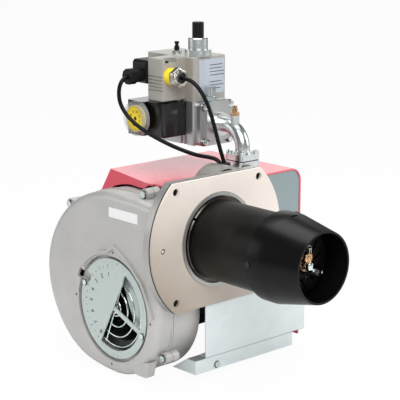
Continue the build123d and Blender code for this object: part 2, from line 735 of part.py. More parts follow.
def intake_guard():
    """Wire guard: rings on two crossed wires, with a hub for the damper's pivot."""
    wire = GUARD_WIRE / 2
    guard = rod("x", GUARD_HUB_R, GUARD_X - wire, GUARD_X + wire, 0, 0)
    for radius in GUARD_RINGS:
        guard += Pos(GUARD_X, 0, 0) * Rot(0, 90, 0) * Torus(radius, wire)
    for angle in (BAR_ANGLE, BAR_ANGLE + 90):
        guard += Rot(angle, 0, 0) * (Pos(GUARD_X, 0, 0) * rod("y", wire, -GUARD_REACH,
                                                              GUARD_REACH, 0, 0))
    guard -= rod("x", PIVOT_R + PIN_GAP, GUARD_X - 5, GUARD_X + 5, 0, 0)
    return on_fan_axis(guard)


def intake_baffle():
    """Fixed half plate behind the guard; the damper's window turns past it."""
    keep = Rot(0, 0, BAFFLE_ANGLE) * Pos(BAFFLE_OFFSET + BAFFLE_R, 0) * \
        Rectangle(2 * BAFFLE_R, 3 * BAFFLE_R)
    return in_intake(Circle(BAFFLE_R) & keep, BAFFLE_X, CONE_X)


def inlet_cone():
    """Spun inlet ring that leads the air into the fan's eye."""
    throat = CONE_THROAT_R
    tip = WHEEL_FRONT + 2
    neck = WHEEL_FRONT - 2
    outline = [(CONE_X, CONE_FLANGE_R), (CONE_X + CONE_T, CONE_FLANGE_R),
               (CONE_X + CONE_T, INLET_R + CONE_T), (neck, throat + CONE_T),
               (tip, throat + CONE_T), (tip, throat), (neck, throat), (CONE_X, INLET_R)]
    return on_fan_axis(turned(outline, Axis.X))


# ------------------------------------------------------------------ fan and motor
def blade_face():
    """One forward-curved blade: a thin curved strip from the eye to the rim."""
    inner = WHEEL_EYE / 2
    rim = WHEEL_OD / 2
    middle = (inner + rim) / 2
    thick = degrees(BLADE_T / middle)
    near = [polar(inner, 0), polar(middle, -5.5), polar(rim - 0.2, -3.0)]
    far = [polar(inner, thick), polar(middle, thick - 5.5), polar(rim - 0.2, thick - 3.0)]
    return make_face(ThreePointArc(*near) + Line(near[-1], far[-1])
                     + ThreePointArc(*reversed(far)) + Line(far[0], near[0]))


def fan_wheel():
    """Centrifugal wheel: curved blades between a front ring and a back plate with a hub."""
    ring = Circle(WHEEL_OD / 2) - Circle(WHEEL_EYE / 2)
    wheel = bar("x", ring, WHEEL_FRONT, WHEEL_FRONT + PLATE_T, 0, 0)
    wheel += rod("x", WHEEL_OD / 2, WHEEL_BACK - PLATE_T, WHEEL_BACK, 0, 0)
    blade = bar("x", blade_face(), WHEEL_FRONT + PLATE_T / 2, WHEEL_BACK - PLATE_T / 2, 0, 0)
    wheel += [Rot(360 / WHEEL_BLADES * step, 0, 0) * blade for step in range(WHEEL_BLADES)]
    wheel += rod("x", HUB_OD / 2, WHEEL_BACK - HUB_LENGTH, WHEEL_BACK, 0, 0)
    wheel -= rod("x", SHAFT_OD / 2, WHEEL_BACK - HUB_LENGTH - 1, WHEEL_BACK + 1, 0, 0)
    return on_fan_axis(wheel)


def motor_shaft():
    shaft = rod("x", SHAFT_OD / 2, WHEEL_BACK - HUB_LENGTH, MOTOR_X + MOTOR_LENGTH / 2, 0, 0)
    return on_fan_axis(chamfer(shaft.edges().group_by(Axis.X)[0], 1))


def motor_bolt_places():
    return [(FAN_Y + polar(MOTOR_BOLT_PITCH_R, 45 + 90 * step)[0],
             FAN_Z + polar(MOTOR_BOLT_PITCH_R, 45 + 90 * step)[1]) for step in range(4)]


def motor_body():
    """Motor with a round flange, cooling fins along its barrel and a domed end cap."""
    radius = MOTOR_OD / 2
    end = MOTOR_X + MOTOR_LENGTH
    core = radius - MOTOR_FIN_H
    cap = [(MOTOR_X, 0), (MOTOR_X, core), (end, core), (end, radius),
           (end + MOTOR_CAP - 8, radius - 2), (end + MOTOR_CAP, radius - 14),
           (end + MOTOR_CAP, 0)]
    motor = turned(cap, Axis.X)
    motor += rod("x", MOTOR_FLANGE_OD / 2, CASING_RIGHT, MOTOR_X, 0, 0)
    fin = block(MOTOR_X, end, core - 2, radius, -1.5, 1.5)
    motor += [Rot(360 / MOTOR_FINS * step, 0, 0) * fin for step in range(MOTOR_FINS)]
    motor -= rod("x", SHAFT_OD / 2 + PIN_GAP, CASING_RIGHT - 1, MOTOR_X + MOTOR_LENGTH / 2 + 1, 0, 0)
    motor = on_fan_axis(motor)
    for u, v in motor_bolt_places():
        motor -= rod("x", 2.5 + HOLE_GAP, CASING_RIGHT - 1, MOTOR_X + 1, u, v)
    return motor


def motor_screws():
    return group(screw("x", MOTOR_X, 1, u, v, 4.2, 4, 2.5, MOTOR_FLANGE_T + CAST_WALL - 0.5)
                 for u, v in motor_bolt_places())


# ------------------------------------------------------------------ sheet metal
def front_panel():
    """Galvanised front plate, folded back under the flange and at its foot."""
    low = block(PANEL_LEFT, PANEL_RIGHT, PANEL_Y, PANEL_Y + SHEET, PANEL_BOTTOM, PANEL_TOP)
    foot_fold = block(PANEL_LEFT + 2, PANEL_RIGHT - 2, PANEL_Y, PANEL_Y + PANEL_FOLD,
                      PANEL_BOTTOM, PANEL_BOTTOM + SHEET)
    shelf = block(SHELF_LEFT, PANEL_RIGHT - 4, PANEL_Y, SHELF_Y + SHEET,
                  PANEL_TOP - SHEET, PANEL_TOP)
    top = HOOD_TOP - HOOD_WALL - RUN_GAP
    right = HOOD_RIGHT - HOOD_WALL - RUN_GAP
    high = block(SHELF_LEFT, right, SHELF_Y, SHELF_Y + SHEET, PANEL_TOP - SHEET, top)
    corner = high.edges().filter_by(Axis.Y).sort_by(lambda edge: edge.center().X + edge.center().Z)
    high = fillet(corner[-1], HOOD_ROUND - HOOD_WALL - RUN_GAP)
    ear = block(PANEL_LEFT, PANEL_RIGHT, PANEL_Y, PANEL_Y + SHEET, PANEL_TOP - 4, PANEL_TOP)
    return low + foot_fold + shelf + high + ear


def base_bracket():
    """Base channel across the front, with a gusset at each end."""
    top = PANEL_BOTTOM
    back = PANEL_Y + BAR_DEPTH
    frame = block(BAR_LEFT, BAR_RIGHT, PANEL_Y, PANEL_Y + SHEET, BASE_Z, top)
    frame += block(BAR_LEFT, BAR_RIGHT, PANEL_Y, back, top - SHEET, top)
    frame += block(BAR_LEFT, BAR_RIGHT, PANEL_Y, back, BASE_Z, BASE_Z + SHEET)
    web = make_face(Polyline((PANEL_Y, BASE_Z), (PANEL_Y, top), (back, top),
                             (PANEL_Y + GUSSET_DEPTH, BASE_Z), close=True))
    for x0 in (BAR_LEFT, BAR_RIGHT - SHEET):
        frame += extrude(Plane.YZ.offset(x0) * web, SHEET)
    return frame - rod("y", 2 + HOLE_GAP, PANEL_Y - 1, PANEL_Y + SHEET + 1, 3, BASE_Z + 7)


def bracket_screw():
    return screw("y", PANEL_Y, -1, 3, BASE_Z + 7, 4.5, 2.4, 2, SHEET + 4)


def hood_form(inset, grow=0.0):
    """Solid form of the hood, drawn in by inset; grow pushes its open sides outwards."""
    side = [(HOOD_FRONT - grow, HOOD_BOTTOM - grow), (HOOD_FRONT - grow, HOOD_TOP - inset),
            (HOOD_TOP_REAR - inset * 0.8, HOOD_TOP - inset), (HOOD_REAR - inset, HOOD_BOTTOM - grow)]
    right = HOOD_RIGHT - inset
    left = HOOD_LEFT - grow
    form = extrude(Plane.YZ.offset(left) * make_face(Polyline(*side, close=True)), right - left)
    ridge = [edge for edge in form.edges()
             if abs(edge.center().X - right) < 0.1 and edge.center().Z > HOOD_BOTTOM + 1
             and edge.center().Y > HOOD_FRONT]
    form = fillet(ridge, HOOD_ROUND - inset)
    return form - crease_cut(inset)


def crease_cut(inset):
    """Everything above the slanted left facet of the hood."""
    run_x = CREASE_REAR[0] - CREASE_FRONT[0]
    run_y = CREASE_REAR[1] - CREASE_FRONT[1]
    turn = -degrees(atan(run_x / run_y))
    half = Pos(-BEYOND, 0, 0) * Box(2 * BEYOND, 2 * BEYOND, 2 * BEYOND)
    tilt = Rot(0, CREASE_LEAN, 0) * half
    drop = inset * tan(radians(45 - CREASE_LEAN / 2))
    return Pos(CREASE_FRONT[0] + drop, CREASE_FRONT[1], HOOD_TOP - inset) * Rot(0, 0, turn) * tilt


def hood():
    """Red sheet hood over the motor, open to the front, the left and below."""
    shell = hood_form(0) - hood_form(HOOD_WALL, 40)
    shell -= scroll_slab(COVER_LEFT, CASING_RIGHT + 3, -SEAM_LIP - HOOD_AIR)
    shell -= block(COVER_LEFT, CASING_RIGHT + 3, 0, FAN_Y, HOOD_BOTTOM,
                   FAN_Z + SCROLL_HIGH_R + SEAM_LIP + HOOD_AIR)
    shell -= block(COVER_LEFT, SEAM_X + LUG_T + 6, 0, 78, 0, BEYOND)
    notch = bar("z", Rectangle(NECK_RIGHT + 4 - DOME_X + DOME_R + 4, 2 * (PIPE_Y + PAD_D / 2 + 4)),
                HOOD_TOP - 10, HOOD_TOP + 10,
                (NECK_RIGHT + 4 + DOME_X - DOME_R - 4) / 2, 0)
    shell -= notch
    for y, z in hood_screw_places():
        shell -= rod("x", 2.5 + HOLE_GAP, HOOD_RIGHT - 10, HOOD_RIGHT + 5, y, z)
    return shell.solids().sort_by(SortBy.VOLUME)[-1]


def hood_screw_places():
    return [(HOOD_FRONT + 12, 20.0), (HOOD_FRONT + 12, -70.0)]


def hood_tabs():
    """Tabs bent back from the front plate's right edge, inside the hood."""
    right = HOOD_RIGHT - HOOD_WALL - RUN_GAP
    tabs = []
    for y, z in hood_screw_places():
        tab = block(right - SHEET, right, SHELF_Y + SHEET, y + 9, z - 10, z + 10)
        tabs.append(tab - rod("x", 2.5, right - 5, right + 5, y, z))
    return tabs


def hood_screws():
    return group(screw("x", HOOD_RIGHT, 1, y, z, 4.6, 3, 2.3, HOOD_WALL)
                 for y, z in hood_screw_places())


def control_box():
    """Burner control on the front plate, inside the hood."""
    left = NECK_RIGHT + CONTROL_AIR
    front = SHELF_Y + SHEET
    box = block(left, left + CONTROL_W, front, front + CONTROL_D, CONTROL_BOTTOM,
                CONTROL_BOTTOM + CONTROL_H)
    return fillet(box.edges(), CONTROL_ROUND)


def ignition_transformer():
    back = NECK_BACK + SPARK_D
    middle = SPARK_LEFT + SPARK_W / 2
    box = block(SPARK_LEFT, SPARK_LEFT + SPARK_W, NECK_BACK, back, 0, SPARK_H)
    box = fillet(box.edges().filter_by(Axis.Y), SPARK_ROUND)
    for x in (middle - SPARK_POST_PITCH / 2, middle + SPARK_POST_PITCH / 2):
        box += rod("y", SPARK_POST_R, back, back + SPARK_POST_L, x, SPARK_H / 2)
    return box


# ------------------------------------------------------------------ gas pipe
def pipe_bolt_places():
    return [(PIPE_X + u * PIPE_BOLT_AT, PIPE_Y + v * PIPE_BOLT_AT)
            for u in (-1, 1) for v in (-1, 1)]


def pad_plate(low, high, bore, trim=0.0):
    """Square plate of the gas pad with rounded corners, a bore and four bolt holes."""
    plate = block(PIPE_X - PAD_W / 2 + trim, PIPE_X + PAD_W / 2 - trim,
                  PIPE_Y - PAD_D / 2 + trim, PIPE_Y + PAD_D / 2 - trim, low, high)
    plate = fillet(plate.edges().filter_by(Axis.Z), 5)
    plate -= rod("z", bore / 2, low - 1, high + 1, PIPE_X, PIPE_Y)
    for x, y in pipe_bolt_places():
        plate -= rod("z", PIPE_BOLT_R + HOLE_GAP, low - 1, high + 1, x, y)
    return plate


def counter_flange():
    return pad_plate(PAD_TOP, COUNTER_TOP, PIPE_BORE)


def pipe_seal():
    return pad_plate(COUNTER_TOP, FLANGE_SEAT, PIPE_BORE + 2, 0.6)


def gas_elbow():
    """Cast elbow: square flange below, a wide bend, and a round hub to the valve."""
    top = FLANGE_SEAT + PIPE_FLANGE_T
    elbow = pad_plate(FLANGE_SEAT, top, PIPE_BORE)
    path = FilletPolyline((PIPE_X, PIPE_Y, top - 1), (PIPE_X, PIPE_Y, OUTLET_Z),
                          (PIPE_X, SPIGOT_FRONT, OUTLET_Z), radius=ELBOW_R)
    start = Plane((PIPE_X, PIPE_Y, top - 1), z_dir=(0, 0, 1))
    elbow += sweep(start * Circle(PIPE_OD / 2), path=path)
    elbow += rod("y", HUB_R, SPIGOT_FRONT - HUB_T, SPIGOT_FRONT, PIPE_X, OUTLET_Z)
    elbow += rod("z", PIPE_OD / 2 + 2.5, top, top + 3, PIPE_X, PIPE_Y)
    elbow += rod("z", BOSS_R, OUTLET_Z - 6, BOSS_TOP, BOSS_X, BOSS_Y)
    elbow -= sweep(start * Circle(PIPE_BORE / 2), path=path)
    elbow -= rod("z", PIPE_BORE / 2, FLANGE_SEAT - 1, top, PIPE_X, PIPE_Y)
    return elbow - rod("z", 3 + PIN_GAP, BOSS_TOP - 8, BOSS_TOP + 1, BOSS_X, BOSS_Y)


def pressure_nipple():
    """Brass test nipple: a hexagon, a neck and a pointed cap."""
    nipple = bar("z", hexagon(12), BOSS_TOP, BOSS_TOP + 5, BOSS_X, BOSS_Y)
    nipple += rod("z", 3, BOSS_TOP - 6, BOSS_TOP, BOSS_X, BOSS_Y)
    high = NIPPLE_TOP - BOSS_TOP - 5
    tip = Cone(5.0, 3.2, high, align=(Align.CENTER, Align.CENTER, Align.MIN))
    return nipple + Pos(BOSS_X, BOSS_Y, BOSS_TOP + 5) * tip


def pipe_bolts():
    length = PIPE_FLANGE_T + SEAL_T + COUNTER_T
    bolts = []
    for x, y in pipe_bolt_places():
        head = screw("z", FLANGE_SEAT + PIPE_FLANGE_T, 1, x, y, 4.6, 4, PIPE_BOLT_R, length)
        bolts.append(head - bar("z", hexagon(4), FLANGE_SEAT + PIPE_FLANGE_T + 1.5, BEYOND, x, y))
    return group(bolts)


def outlet_flange():
    """Valve outlet: a square plate with four screws and a pocketed block for the elbow."""
    flange = bar("y", RectangleRounded(OUTLET_W, OUTLET_W, 8), OUTLET_FRONT, VALVE_FRONT,
                 OUTLET_X, OUTLET_Z)
    spigot = block(SPIGOT_LEFT, SPIGOT_RIGHT, SPIGOT_FRONT, OUTLET_FRONT, SPIGOT_BOTTOM, SPIGOT_TOP)
    spigot = fillet(spigot.edges().filter_by(Axis.Y), 4)
    for x in (SPIGOT_LEFT + 10, SPIGOT_RIGHT - 10):
        spigot -= block(x - 6, x + 6, SPIGOT_FRONT + 2, OUTLET_FRONT, SPIGOT_TOP - 8, SPIGOT_TOP + 1)
    flange += spigot
    flange += rod("y", HUB_R + 4, SPIGOT_FRONT, OUTLET_FRONT, PIPE_X, OUTLET_Z)
    flange -= rod("y", PIPE_BORE / 2, SPIGOT_FRONT - 1, VALVE_FRONT + 1, PIPE_X, OUTLET_Z)
    for x, z in outlet_screw_places():
        flange -= rod("y", 2.5 + HOLE_GAP, SPIGOT_FRONT - 1, VALVE_FRONT + 1, x, z)
        flange -= rod("y", OUTLET_HEAD_R + HOLE_GAP, SPIGOT_FRONT - 1, OUTLET_FRONT, x, z)
    return flange


def outlet_screw_places():
    return [(OUTLET_X + u * OUTLET_PITCH_X / 2, OUTLET_Z + v * OUTLET_PITCH_Z / 2)
            for u in (-1, 1) for v in (-1, 1)]


def outlet_screws():
    return group(screw("y", OUTLET_FRONT, -1, x, z, OUTLET_HEAD_R, 4.5, 2.5, OUTLET_T + 8)
                 for x, z in outlet_screw_places())


# ------------------------------------------------------------------ gas valve
def valve_body():
    """Lower die casting of the valve, with a stepped front column and the inlet bore."""
    body = block(VALVE_LEFT, VALVE_RIGHT, VALVE_FRONT, VALVE_REAR, VALVE_BOTTOM, VALVE_SPLIT)
    body = fillet(body.edges().filter_by(Axis.Z), 3)
    for depth, width in ((6, 14), (3, 22)):
        body -= block(VALVE_LEFT - 1, VALVE_LEFT + 3, VALVE_FRONT + width, VALVE_FRONT + width + 6,
                      VALVE_BOTTOM - 1, VALVE_SPLIT + 1)
        body -= block(VALVE_RIGHT - depth / 2, VALVE_RIGHT + 1, VALVE_FRONT + width,
                      VALVE_REAR - width, VALVE_BOTTOM + 10, VALVE_SPLIT - 10)
    body -= rod("y", PIPE_BORE / 2, VALVE_FRONT - 1, VALVE_FRONT + 30, PIPE_X, OUTLET_Z)
    for x, z in outlet_screw_places():
        body -= rod("y", 2.5 + HOLE_GAP, VALVE_FRONT - 1, VALVE_FRONT + 12, x, z)
    return body


def inlet_flange():
    """Threaded inlet flange at the valve's rear."""
    middle = (VALVE_LEFT + VALVE_RIGHT) / 2
    flange = bar("y", hexagon(44), VALVE_REAR, VALVE_REAR + INLET_BLOCK_T, middle, INLET_Z)
    flange = fillet(flange.edges().filter_by(Axis.Y), 3)
    flange += bar("y", RectangleRounded(54, 54, 7), VALVE_REAR, VALVE_REAR + 8, middle, INLET_Z)
    flange -= rod("y", INLET_BORE_R, VALVE_REAR - 1, VALVE_REAR + INLET_BLOCK_T + 1, middle, INLET_Z)
    return flange


def valve_housing():
    """Upper coil housing of the valve."""
    body = block(VALVE_LEFT, VALVE_RIGHT, VALVE_FRONT, VALVE_REAR, VALVE_SPLIT, VALVE_TOP)
    body = fillet(body.edges().filter_by(Axis.Z), 3)
    body = chamfer(body.edges().group_by(Axis.Z)[-1], 1.2)
    return body


def terminal_box():
    """Ribbed terminal box on the valve's left side, cut away at its top for a screw."""
    box = block(TERMINAL_LEFT, VALVE_LEFT, TERMINAL_FRONT, TERMINAL_REAR, TERMINAL_BOTTOM,
                VALVE_TOP - 0.5)
    box = fillet(box.edges().filter_by(Axis.Z).sort_by(Axis.X)[:2], 2.5)
    pitch = 5.0
    for step in range(TERMINAL_GROOVES):
        z = VALVE_TOP - 27 - pitch * step
        box -= block(TERMINAL_LEFT - 1, TERMINAL_LEFT + 1.2, TERMINAL_FRONT - 1,
                     TERMINAL_REAR + 1, z - 1, z + 1)
    box -= block(TERMINAL_LEFT + 5, TERMINAL_LEFT + 27, TERMINAL_FRONT - 1, TERMINAL_FRONT + 11,
                 VALVE_TOP - 7, VALVE_TOP + 1)
    box -= rod("z", 1.6 + HOLE_GAP, VALVE_TOP - 20, VALVE_TOP, TERMINAL_LEFT + 12,
               TERMINAL_FRONT + 6)
    return box


def terminal_screw():
    """Screw in the corner of the terminal box that holds its lid."""
    return screw("z", VALVE_TOP - 7, 1, TERMINAL_LEFT + 12, TERMINAL_FRONT + 6, 3.6, 3, 1.6, 12)


def gland_sleeve():
    y1 = TERMINAL_FRONT
    return rod("y", GLAND_SLEEVE_R, y1 - GLAND_SLEEVE_L, y1, GLAND_X, GLAND_Z)


def gland_nut():
    """Nickel-plated hexagon nut of the cable gland."""
    y1 = TERMINAL_FRONT - GLAND_SLEEVE_L
    y0 = y1 - GLAND_NUT_L
    nut = bar("y", hexagon(GLAND_HEX), y0 + 3, y1, GLAND_X, GLAND_Z)
    nut += rod("y", GLAND_HEX / 2 - 1, y0, y0 + 3, GLAND_X, GLAND_Z)
    nut = nut & Pos(GLAND_X, (y0 + y1) / 2, GLAND_Z) * Rot(90, 0, 0) \
        * Cylinder(GLAND_HEX / 2 + 1.1, GLAND_NUT_L)
    return nut - rod("y", CABLE_OD / 2 + 3.5, y0 - 1, y0 + 8, GLAND_X, GLAND_Z)


def plug_y():
    return TERMINAL_REAR + PLUG_DEPTH / 2


def din_plug():
    """Black appliance plug behind the terminal box, with its cable gland to the left."""
    body = block(PLUG_LEFT, VALVE_LEFT, TERMINAL_REAR, TERMINAL_REAR + PLUG_DEPTH,
                 PLUG_BOTTOM, PLUG_TOP)
    body = fillet(body.edges().filter_by(Axis.Y).sort_by(Axis.X)[:2], 6)
    nose = PLUG_LEFT - PLUG_GLAND_L
    body += rod("x", PLUG_GLAND_R - 2, nose + 8, PLUG_LEFT, plug_y(), PLUG_Z)
    nut = bar("x", RegularPolygon(PLUG_GLAND_R, 10), nose, nose + 12, plug_y(), PLUG_Z)
    body += nut
    return body - rod("x", CABLE_OD / 2 + RUN_GAP, nose - 1, nose + 8, plug_y(), PLUG_Z)


def pressure_switch():
    """Gas pressure switch: a rounded cover in front and the dial's housing behind."""
    cover = block(SWITCH_LEFT, VALVE_LEFT, SWITCH_FRONT, SWITCH_MID, SWITCH_BOTTOM, SWITCH_TOP)
    cover = fillet(cover.edges().filter_by(Axis.Z).sort_by(Axis.X)[:2], 5)
    cover = fillet(cover.edges().group_by(Axis.Z)[0], 3)
    base = block(SWITCH_FACE, VALVE_LEFT, SWITCH_MID, SWITCH_REAR, SWITCH_BOTTOM, SWITCH_TOP)
    base = fillet(base.edges().filter_by(Axis.Z).sort_by(Axis.X)[:2], 5)
    seat = rod("x", DIAL_R + 1, SWITCH_FACE - 1, SWITCH_FACE + 2, DIAL_Y, DIAL_Z)
    pin = rod("x", 3, SWITCH_FACE - COVER_RING_H + 3, SWITCH_FACE + 4, DIAL_Y, DIAL_Z)
    return cover + base - seat + pin


def dial_ring():
    """Clear cover ring round the dial."""
    left = SWITCH_FACE - COVER_RING_H
    outline = [(left, DIAL_R - 1.5), (left, COVER_RING_R - 2), (left + 2, COVER_RING_R),
               (SWITCH_FACE, COVER_RING_R), (SWITCH_FACE, DIAL_R + 1.2),
               (left + 2, DIAL_R + 1.2), (left + 2, DIAL_R - 1.5)]
    return Pos(0, DIAL_Y, DIAL_Z) * turned(outline, Axis.X)


def switch_dial():
    """Setting dial of the pressure switch, turning on the switch's pin."""
    left = SWITCH_FACE - COVER_RING_H + 2 + RUN_GAP + 0.4
    dial = rod("x", DIAL_R, left, left + DIAL_T, DIAL_Y, DIAL_Z)
    for step in range(10):
        u, v = polar(DIAL_R, 36 * step)
        dial -= rod("x", 1.0, left - 1, left + DIAL_T + 1, DIAL_Y + u, DIAL_Z + v)
    return dial - rod("x", 3 + PIN_GAP, left - 1, left + DIAL_T + 1, DIAL_Y, DIAL_Z)


# ------------------------------------------------------------------ valve top
def column_base():
    z0 = VALVE_TOP
    base = bar("z", hexagon(COLUMN_HEX), z0, z0 + COLUMN_HEX_H, COLUMN_X, COLUMN_Y)
    base &= Pos(COLUMN_X, COLUMN_Y, z0 + COLUMN_HEX_H / 2) * Cylinder(COLUMN_HEX / 2 + 1.4,
                                                                     COLUMN_HEX_H)
    return base


def brake_column():
    """Zinc-plated hydraulic brake on the valve, with a pin for its cap."""
    z0 = VALVE_TOP + COLUMN_HEX_H
    column = rod("z", COLUMN_R, z0, z0 + COLUMN_H, COLUMN_X, COLUMN_Y)
    column = chamfer(column.edges().group_by(Axis.Z)[-1], 1)
    column += rod("z", 5, z0 + COLUMN_H - 1, z0 + COLUMN_H + CAP_H - 6, COLUMN_X, COLUMN_Y)
    return column


def setting_cap():
    """Black ribbed cap on the brake; it turns to set the gas flow."""
    z0 = VALVE_TOP + COLUMN_HEX_H + COLUMN_H + RUN_GAP
    cap = rod("z", CAP_R, z0, z0 + CAP_H, COLUMN_X, COLUMN_Y)
    cap = fillet(cap.edges().group_by(Axis.Z)[-1], 1.5)
    for step in range(18):
        u, v = polar(CAP_R + 0.3, 20 * step)
        cap -= rod("z", 0.8, z0 + 3, z0 + CAP_H + 1, COLUMN_X + u, COLUMN_Y + v)
    return cap - rod("z", 5 + PIN_GAP, z0 - 1, z0 + CAP_H - 5, COLUMN_X, COLUMN_Y)


def nipple_base():
    return rod("z", 7, VALVE_TOP, VALVE_TOP + 6, NIPPLE_X, NIPPLE_Y)


def test_nipple():
    z0 = VALVE_TOP + 6
    nipple = rod("z", 4, z0, z0 + 6, NIPPLE_X, NIPPLE_Y)
    nipple += rod("z", 2.6, z0 + 6, z0 + 10, NIPPLE_X, NIPPLE_Y)
    return nipple + rod("z", 3.4, z0 + 10, z0 + 13, NIPPLE_X, NIPPLE_Y)


def bleed_fitting():
    """Compression fitting on the valve's front, above the outlet."""
    x = BLEED_X
    y = VALVE_FRONT - 9
    z = BLEED_SEAT
    fitting = bar("z", hexagon(17), z, z + 7, x, y) + rod("z", 6.5, z + 7, z + 10, x, y)
    fitting += rod("z", 7.5, z + 10, z + 22, x, y)
    return fitting + rod("y", 4, y, VALVE_FRONT, x, z + 16)


# ------------------------------------------------------------------ cables
CABLE_1 = [(-12, 175, 215), (-22.5, 175, 215), (-30, 176, 209.5), (-34, 177, 200),
           (-34.5, 177.3, 188), (-33, 176, 176), (-29.5, 170, 163.5), (-24, 160.5, 151.5),
           (-16.5, 146, 140), (-7, 128, 129.5), (2, 112, 121.5), (12, 94.5, 114),
           (24, 72.5, 107), (34, 55.5, 105.3), (41, 45.2, 102.5), (44.5, 40, 94)]
CABLE_2 = [(20, 107, 217), (20, 97, 217), (24, 86, 215.5), (29.5, 76.5, 207), (34, 69.5, 195),
           (37.7, 64, 182), (40.8, 60, 167.5), (43.3, 56.2, 152), (45.3, 53, 137.5),
           (47.5, 49.7, 122), (49.7, 46.2, 108), (51.5, 43, 97), (52.5, 41.5, 90)]


def corner_radii(points):
    """Radius at each corner: 0.45 of the shorter run over the tangent of half the turn."""
    radii = []
    for before, here, after in zip(points, points[1:], points[2:]):
        first = Vector(here) - Vector(before)
        second = Vector(after) - Vector(here)
        half_turn = radians(first.get_angle(second)) / 2
        radii.append(0.45 * min(first.length, second.length) / tan(half_turn))
    return radii


def cable(name, points):
    """Round cable along straight runs joined by tangent arcs."""
    radii = corner_radii(points)
    path = FilletPolyline(*points, radius=radii)
    start = Plane(points[0], z_dir=Vector(points[1]) - Vector(points[0]))
    tube = sweep(start * Circle(CABLE_OD / 2), path=path)
    section = 3.14159265 * CABLE_OD ** 2 / 4
    print(name, "length", round(path.length, 1), "volume share",
          round(tube.volume / (section * path.length), 4),
          "radii", [round(radius, 1) for radius in radii])
    return tube


# ------------------------------------------------------------------ the pieces
def pieces():
    panel = front_panel()
    for tab in hood_tabs():
        panel += tab
    return {
        "blast_tube": blast_tube(),
        "head_sleeve": head_sleeve(),
        "sleeve_screws": sleeve_screws(),
        "flame_disc": flame_disc(),
        "gas_lance": gas_lance(),
        "gas_nozzle": gas_nozzle(),
        "electrode_ceramics": electrode_ceramics(),
        "electrode_wires": electrode_wires(),
        "electrode_clamp": electrode_clamp(),
        "flange_gasket": flange_gasket(),
        "gasket_screws": gasket_screws(),
        "burner_flange": burner_flange(),
        "tube_clamp_ring": tube_clamp_ring(),
        "cable_grommet": cable_grommet(),
        "housing_cover": housing_cover(),
        "fan_housing": fan_housing(),
        "housing_screws": housing_screws(),
        "air_damper": air_damper(),
        "damper_bar": damper_bar(),
        "damper_screws": damper_screws(),
        "intake_guard": intake_guard(),
        "intake_baffle": intake_baffle(),
        "inlet_cone": inlet_cone(),
        "fan_wheel": fan_wheel(),
        "motor_shaft": motor_shaft(),
        "motor_body": motor_body(),
        "motor_screws": motor_screws(),
        "front_panel": panel,
        "base_bracket": base_bracket(),
        "bracket_screw": bracket_screw(),
        "hood": hood(),
        "hood_screws": hood_screws(),
        "control_box": control_box(),
        "ignition_transformer": ignition_transformer(),
        "counter_flange": counter_flange(),
        "pipe_seal": pipe_seal(),
        "gas_elbow": gas_elbow(),
        "pressure_nipple": pressure_nipple(),
        "pipe_bolts": pipe_bolts(),
        "outlet_flange": outlet_flange(),
        "outlet_screws": outlet_screws(),
        "valve_body": valve_body(),
        "terminal_screw": terminal_screw(),
        "inlet_flange": inlet_flange(),
        "valve_housing": valve_housing(),
        "terminal_box": terminal_box(),
        "gland_sleeve": gland_sleeve(),
        "gland_nut": gland_nut(),
        "din_plug": din_plug(),
        "pressure_switch": pressure_switch(),
        "dial_ring": dial_ring(),
        "switch_dial": switch_dial(),
        "column_base": column_base(),
        "brake_column": brake_column(),
        "setting_cap": setting_cap(),
        "nipple_base": nipple_base(),
        "test_nipple": test_nipple(),
        "bleed_fitting": bleed_fitting(),
        "plug_cable": cable("plug_cable", CABLE_1),
        "valve_cable": cable("valve_cable", CABLE_2),
    }


os.makedirs("parts", exist_ok=True)
for node, shape in pieces().items():
    export_step(shape, "parts/" + node + ".step")
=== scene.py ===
import json
from math import cos, radians, sin

import bpy
from bpy.props import FloatProperty, FloatVectorProperty, IntProperty, PointerProperty
from mathutils import Matrix, Vector


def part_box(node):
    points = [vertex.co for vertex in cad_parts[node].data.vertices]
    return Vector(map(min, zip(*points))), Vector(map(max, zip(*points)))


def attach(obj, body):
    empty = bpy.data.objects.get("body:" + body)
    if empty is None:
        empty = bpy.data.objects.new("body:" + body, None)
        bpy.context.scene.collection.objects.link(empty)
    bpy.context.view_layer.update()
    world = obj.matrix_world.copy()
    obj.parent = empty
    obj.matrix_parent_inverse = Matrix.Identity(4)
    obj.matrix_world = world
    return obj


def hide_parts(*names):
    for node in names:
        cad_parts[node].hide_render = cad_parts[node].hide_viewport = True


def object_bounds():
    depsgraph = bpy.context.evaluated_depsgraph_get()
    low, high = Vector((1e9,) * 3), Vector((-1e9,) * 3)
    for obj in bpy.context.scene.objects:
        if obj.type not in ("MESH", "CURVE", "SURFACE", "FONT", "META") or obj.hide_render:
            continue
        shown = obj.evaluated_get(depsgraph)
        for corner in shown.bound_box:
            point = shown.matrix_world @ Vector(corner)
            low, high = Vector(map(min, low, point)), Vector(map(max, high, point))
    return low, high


bl_info = {
    "name": "Gas burner dresser",
    "version": (1, 0, 0),
    "blender": (4, 5, 0),
    "location": "3D View > Sidebar > Burner",
    "description": "Finishes and details for a gas burner with a fan casing and a valve train",
    "category": "Object",
}

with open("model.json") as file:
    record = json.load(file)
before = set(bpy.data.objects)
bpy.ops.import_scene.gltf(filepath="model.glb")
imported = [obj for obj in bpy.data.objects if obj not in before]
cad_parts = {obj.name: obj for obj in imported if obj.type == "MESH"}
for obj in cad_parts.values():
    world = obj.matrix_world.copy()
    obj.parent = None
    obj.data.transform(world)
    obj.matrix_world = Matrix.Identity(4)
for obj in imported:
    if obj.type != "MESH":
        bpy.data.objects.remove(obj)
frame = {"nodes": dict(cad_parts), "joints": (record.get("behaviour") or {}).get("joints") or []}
NODES = frame["nodes"]
CAD_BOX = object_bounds()

MM = 0.001

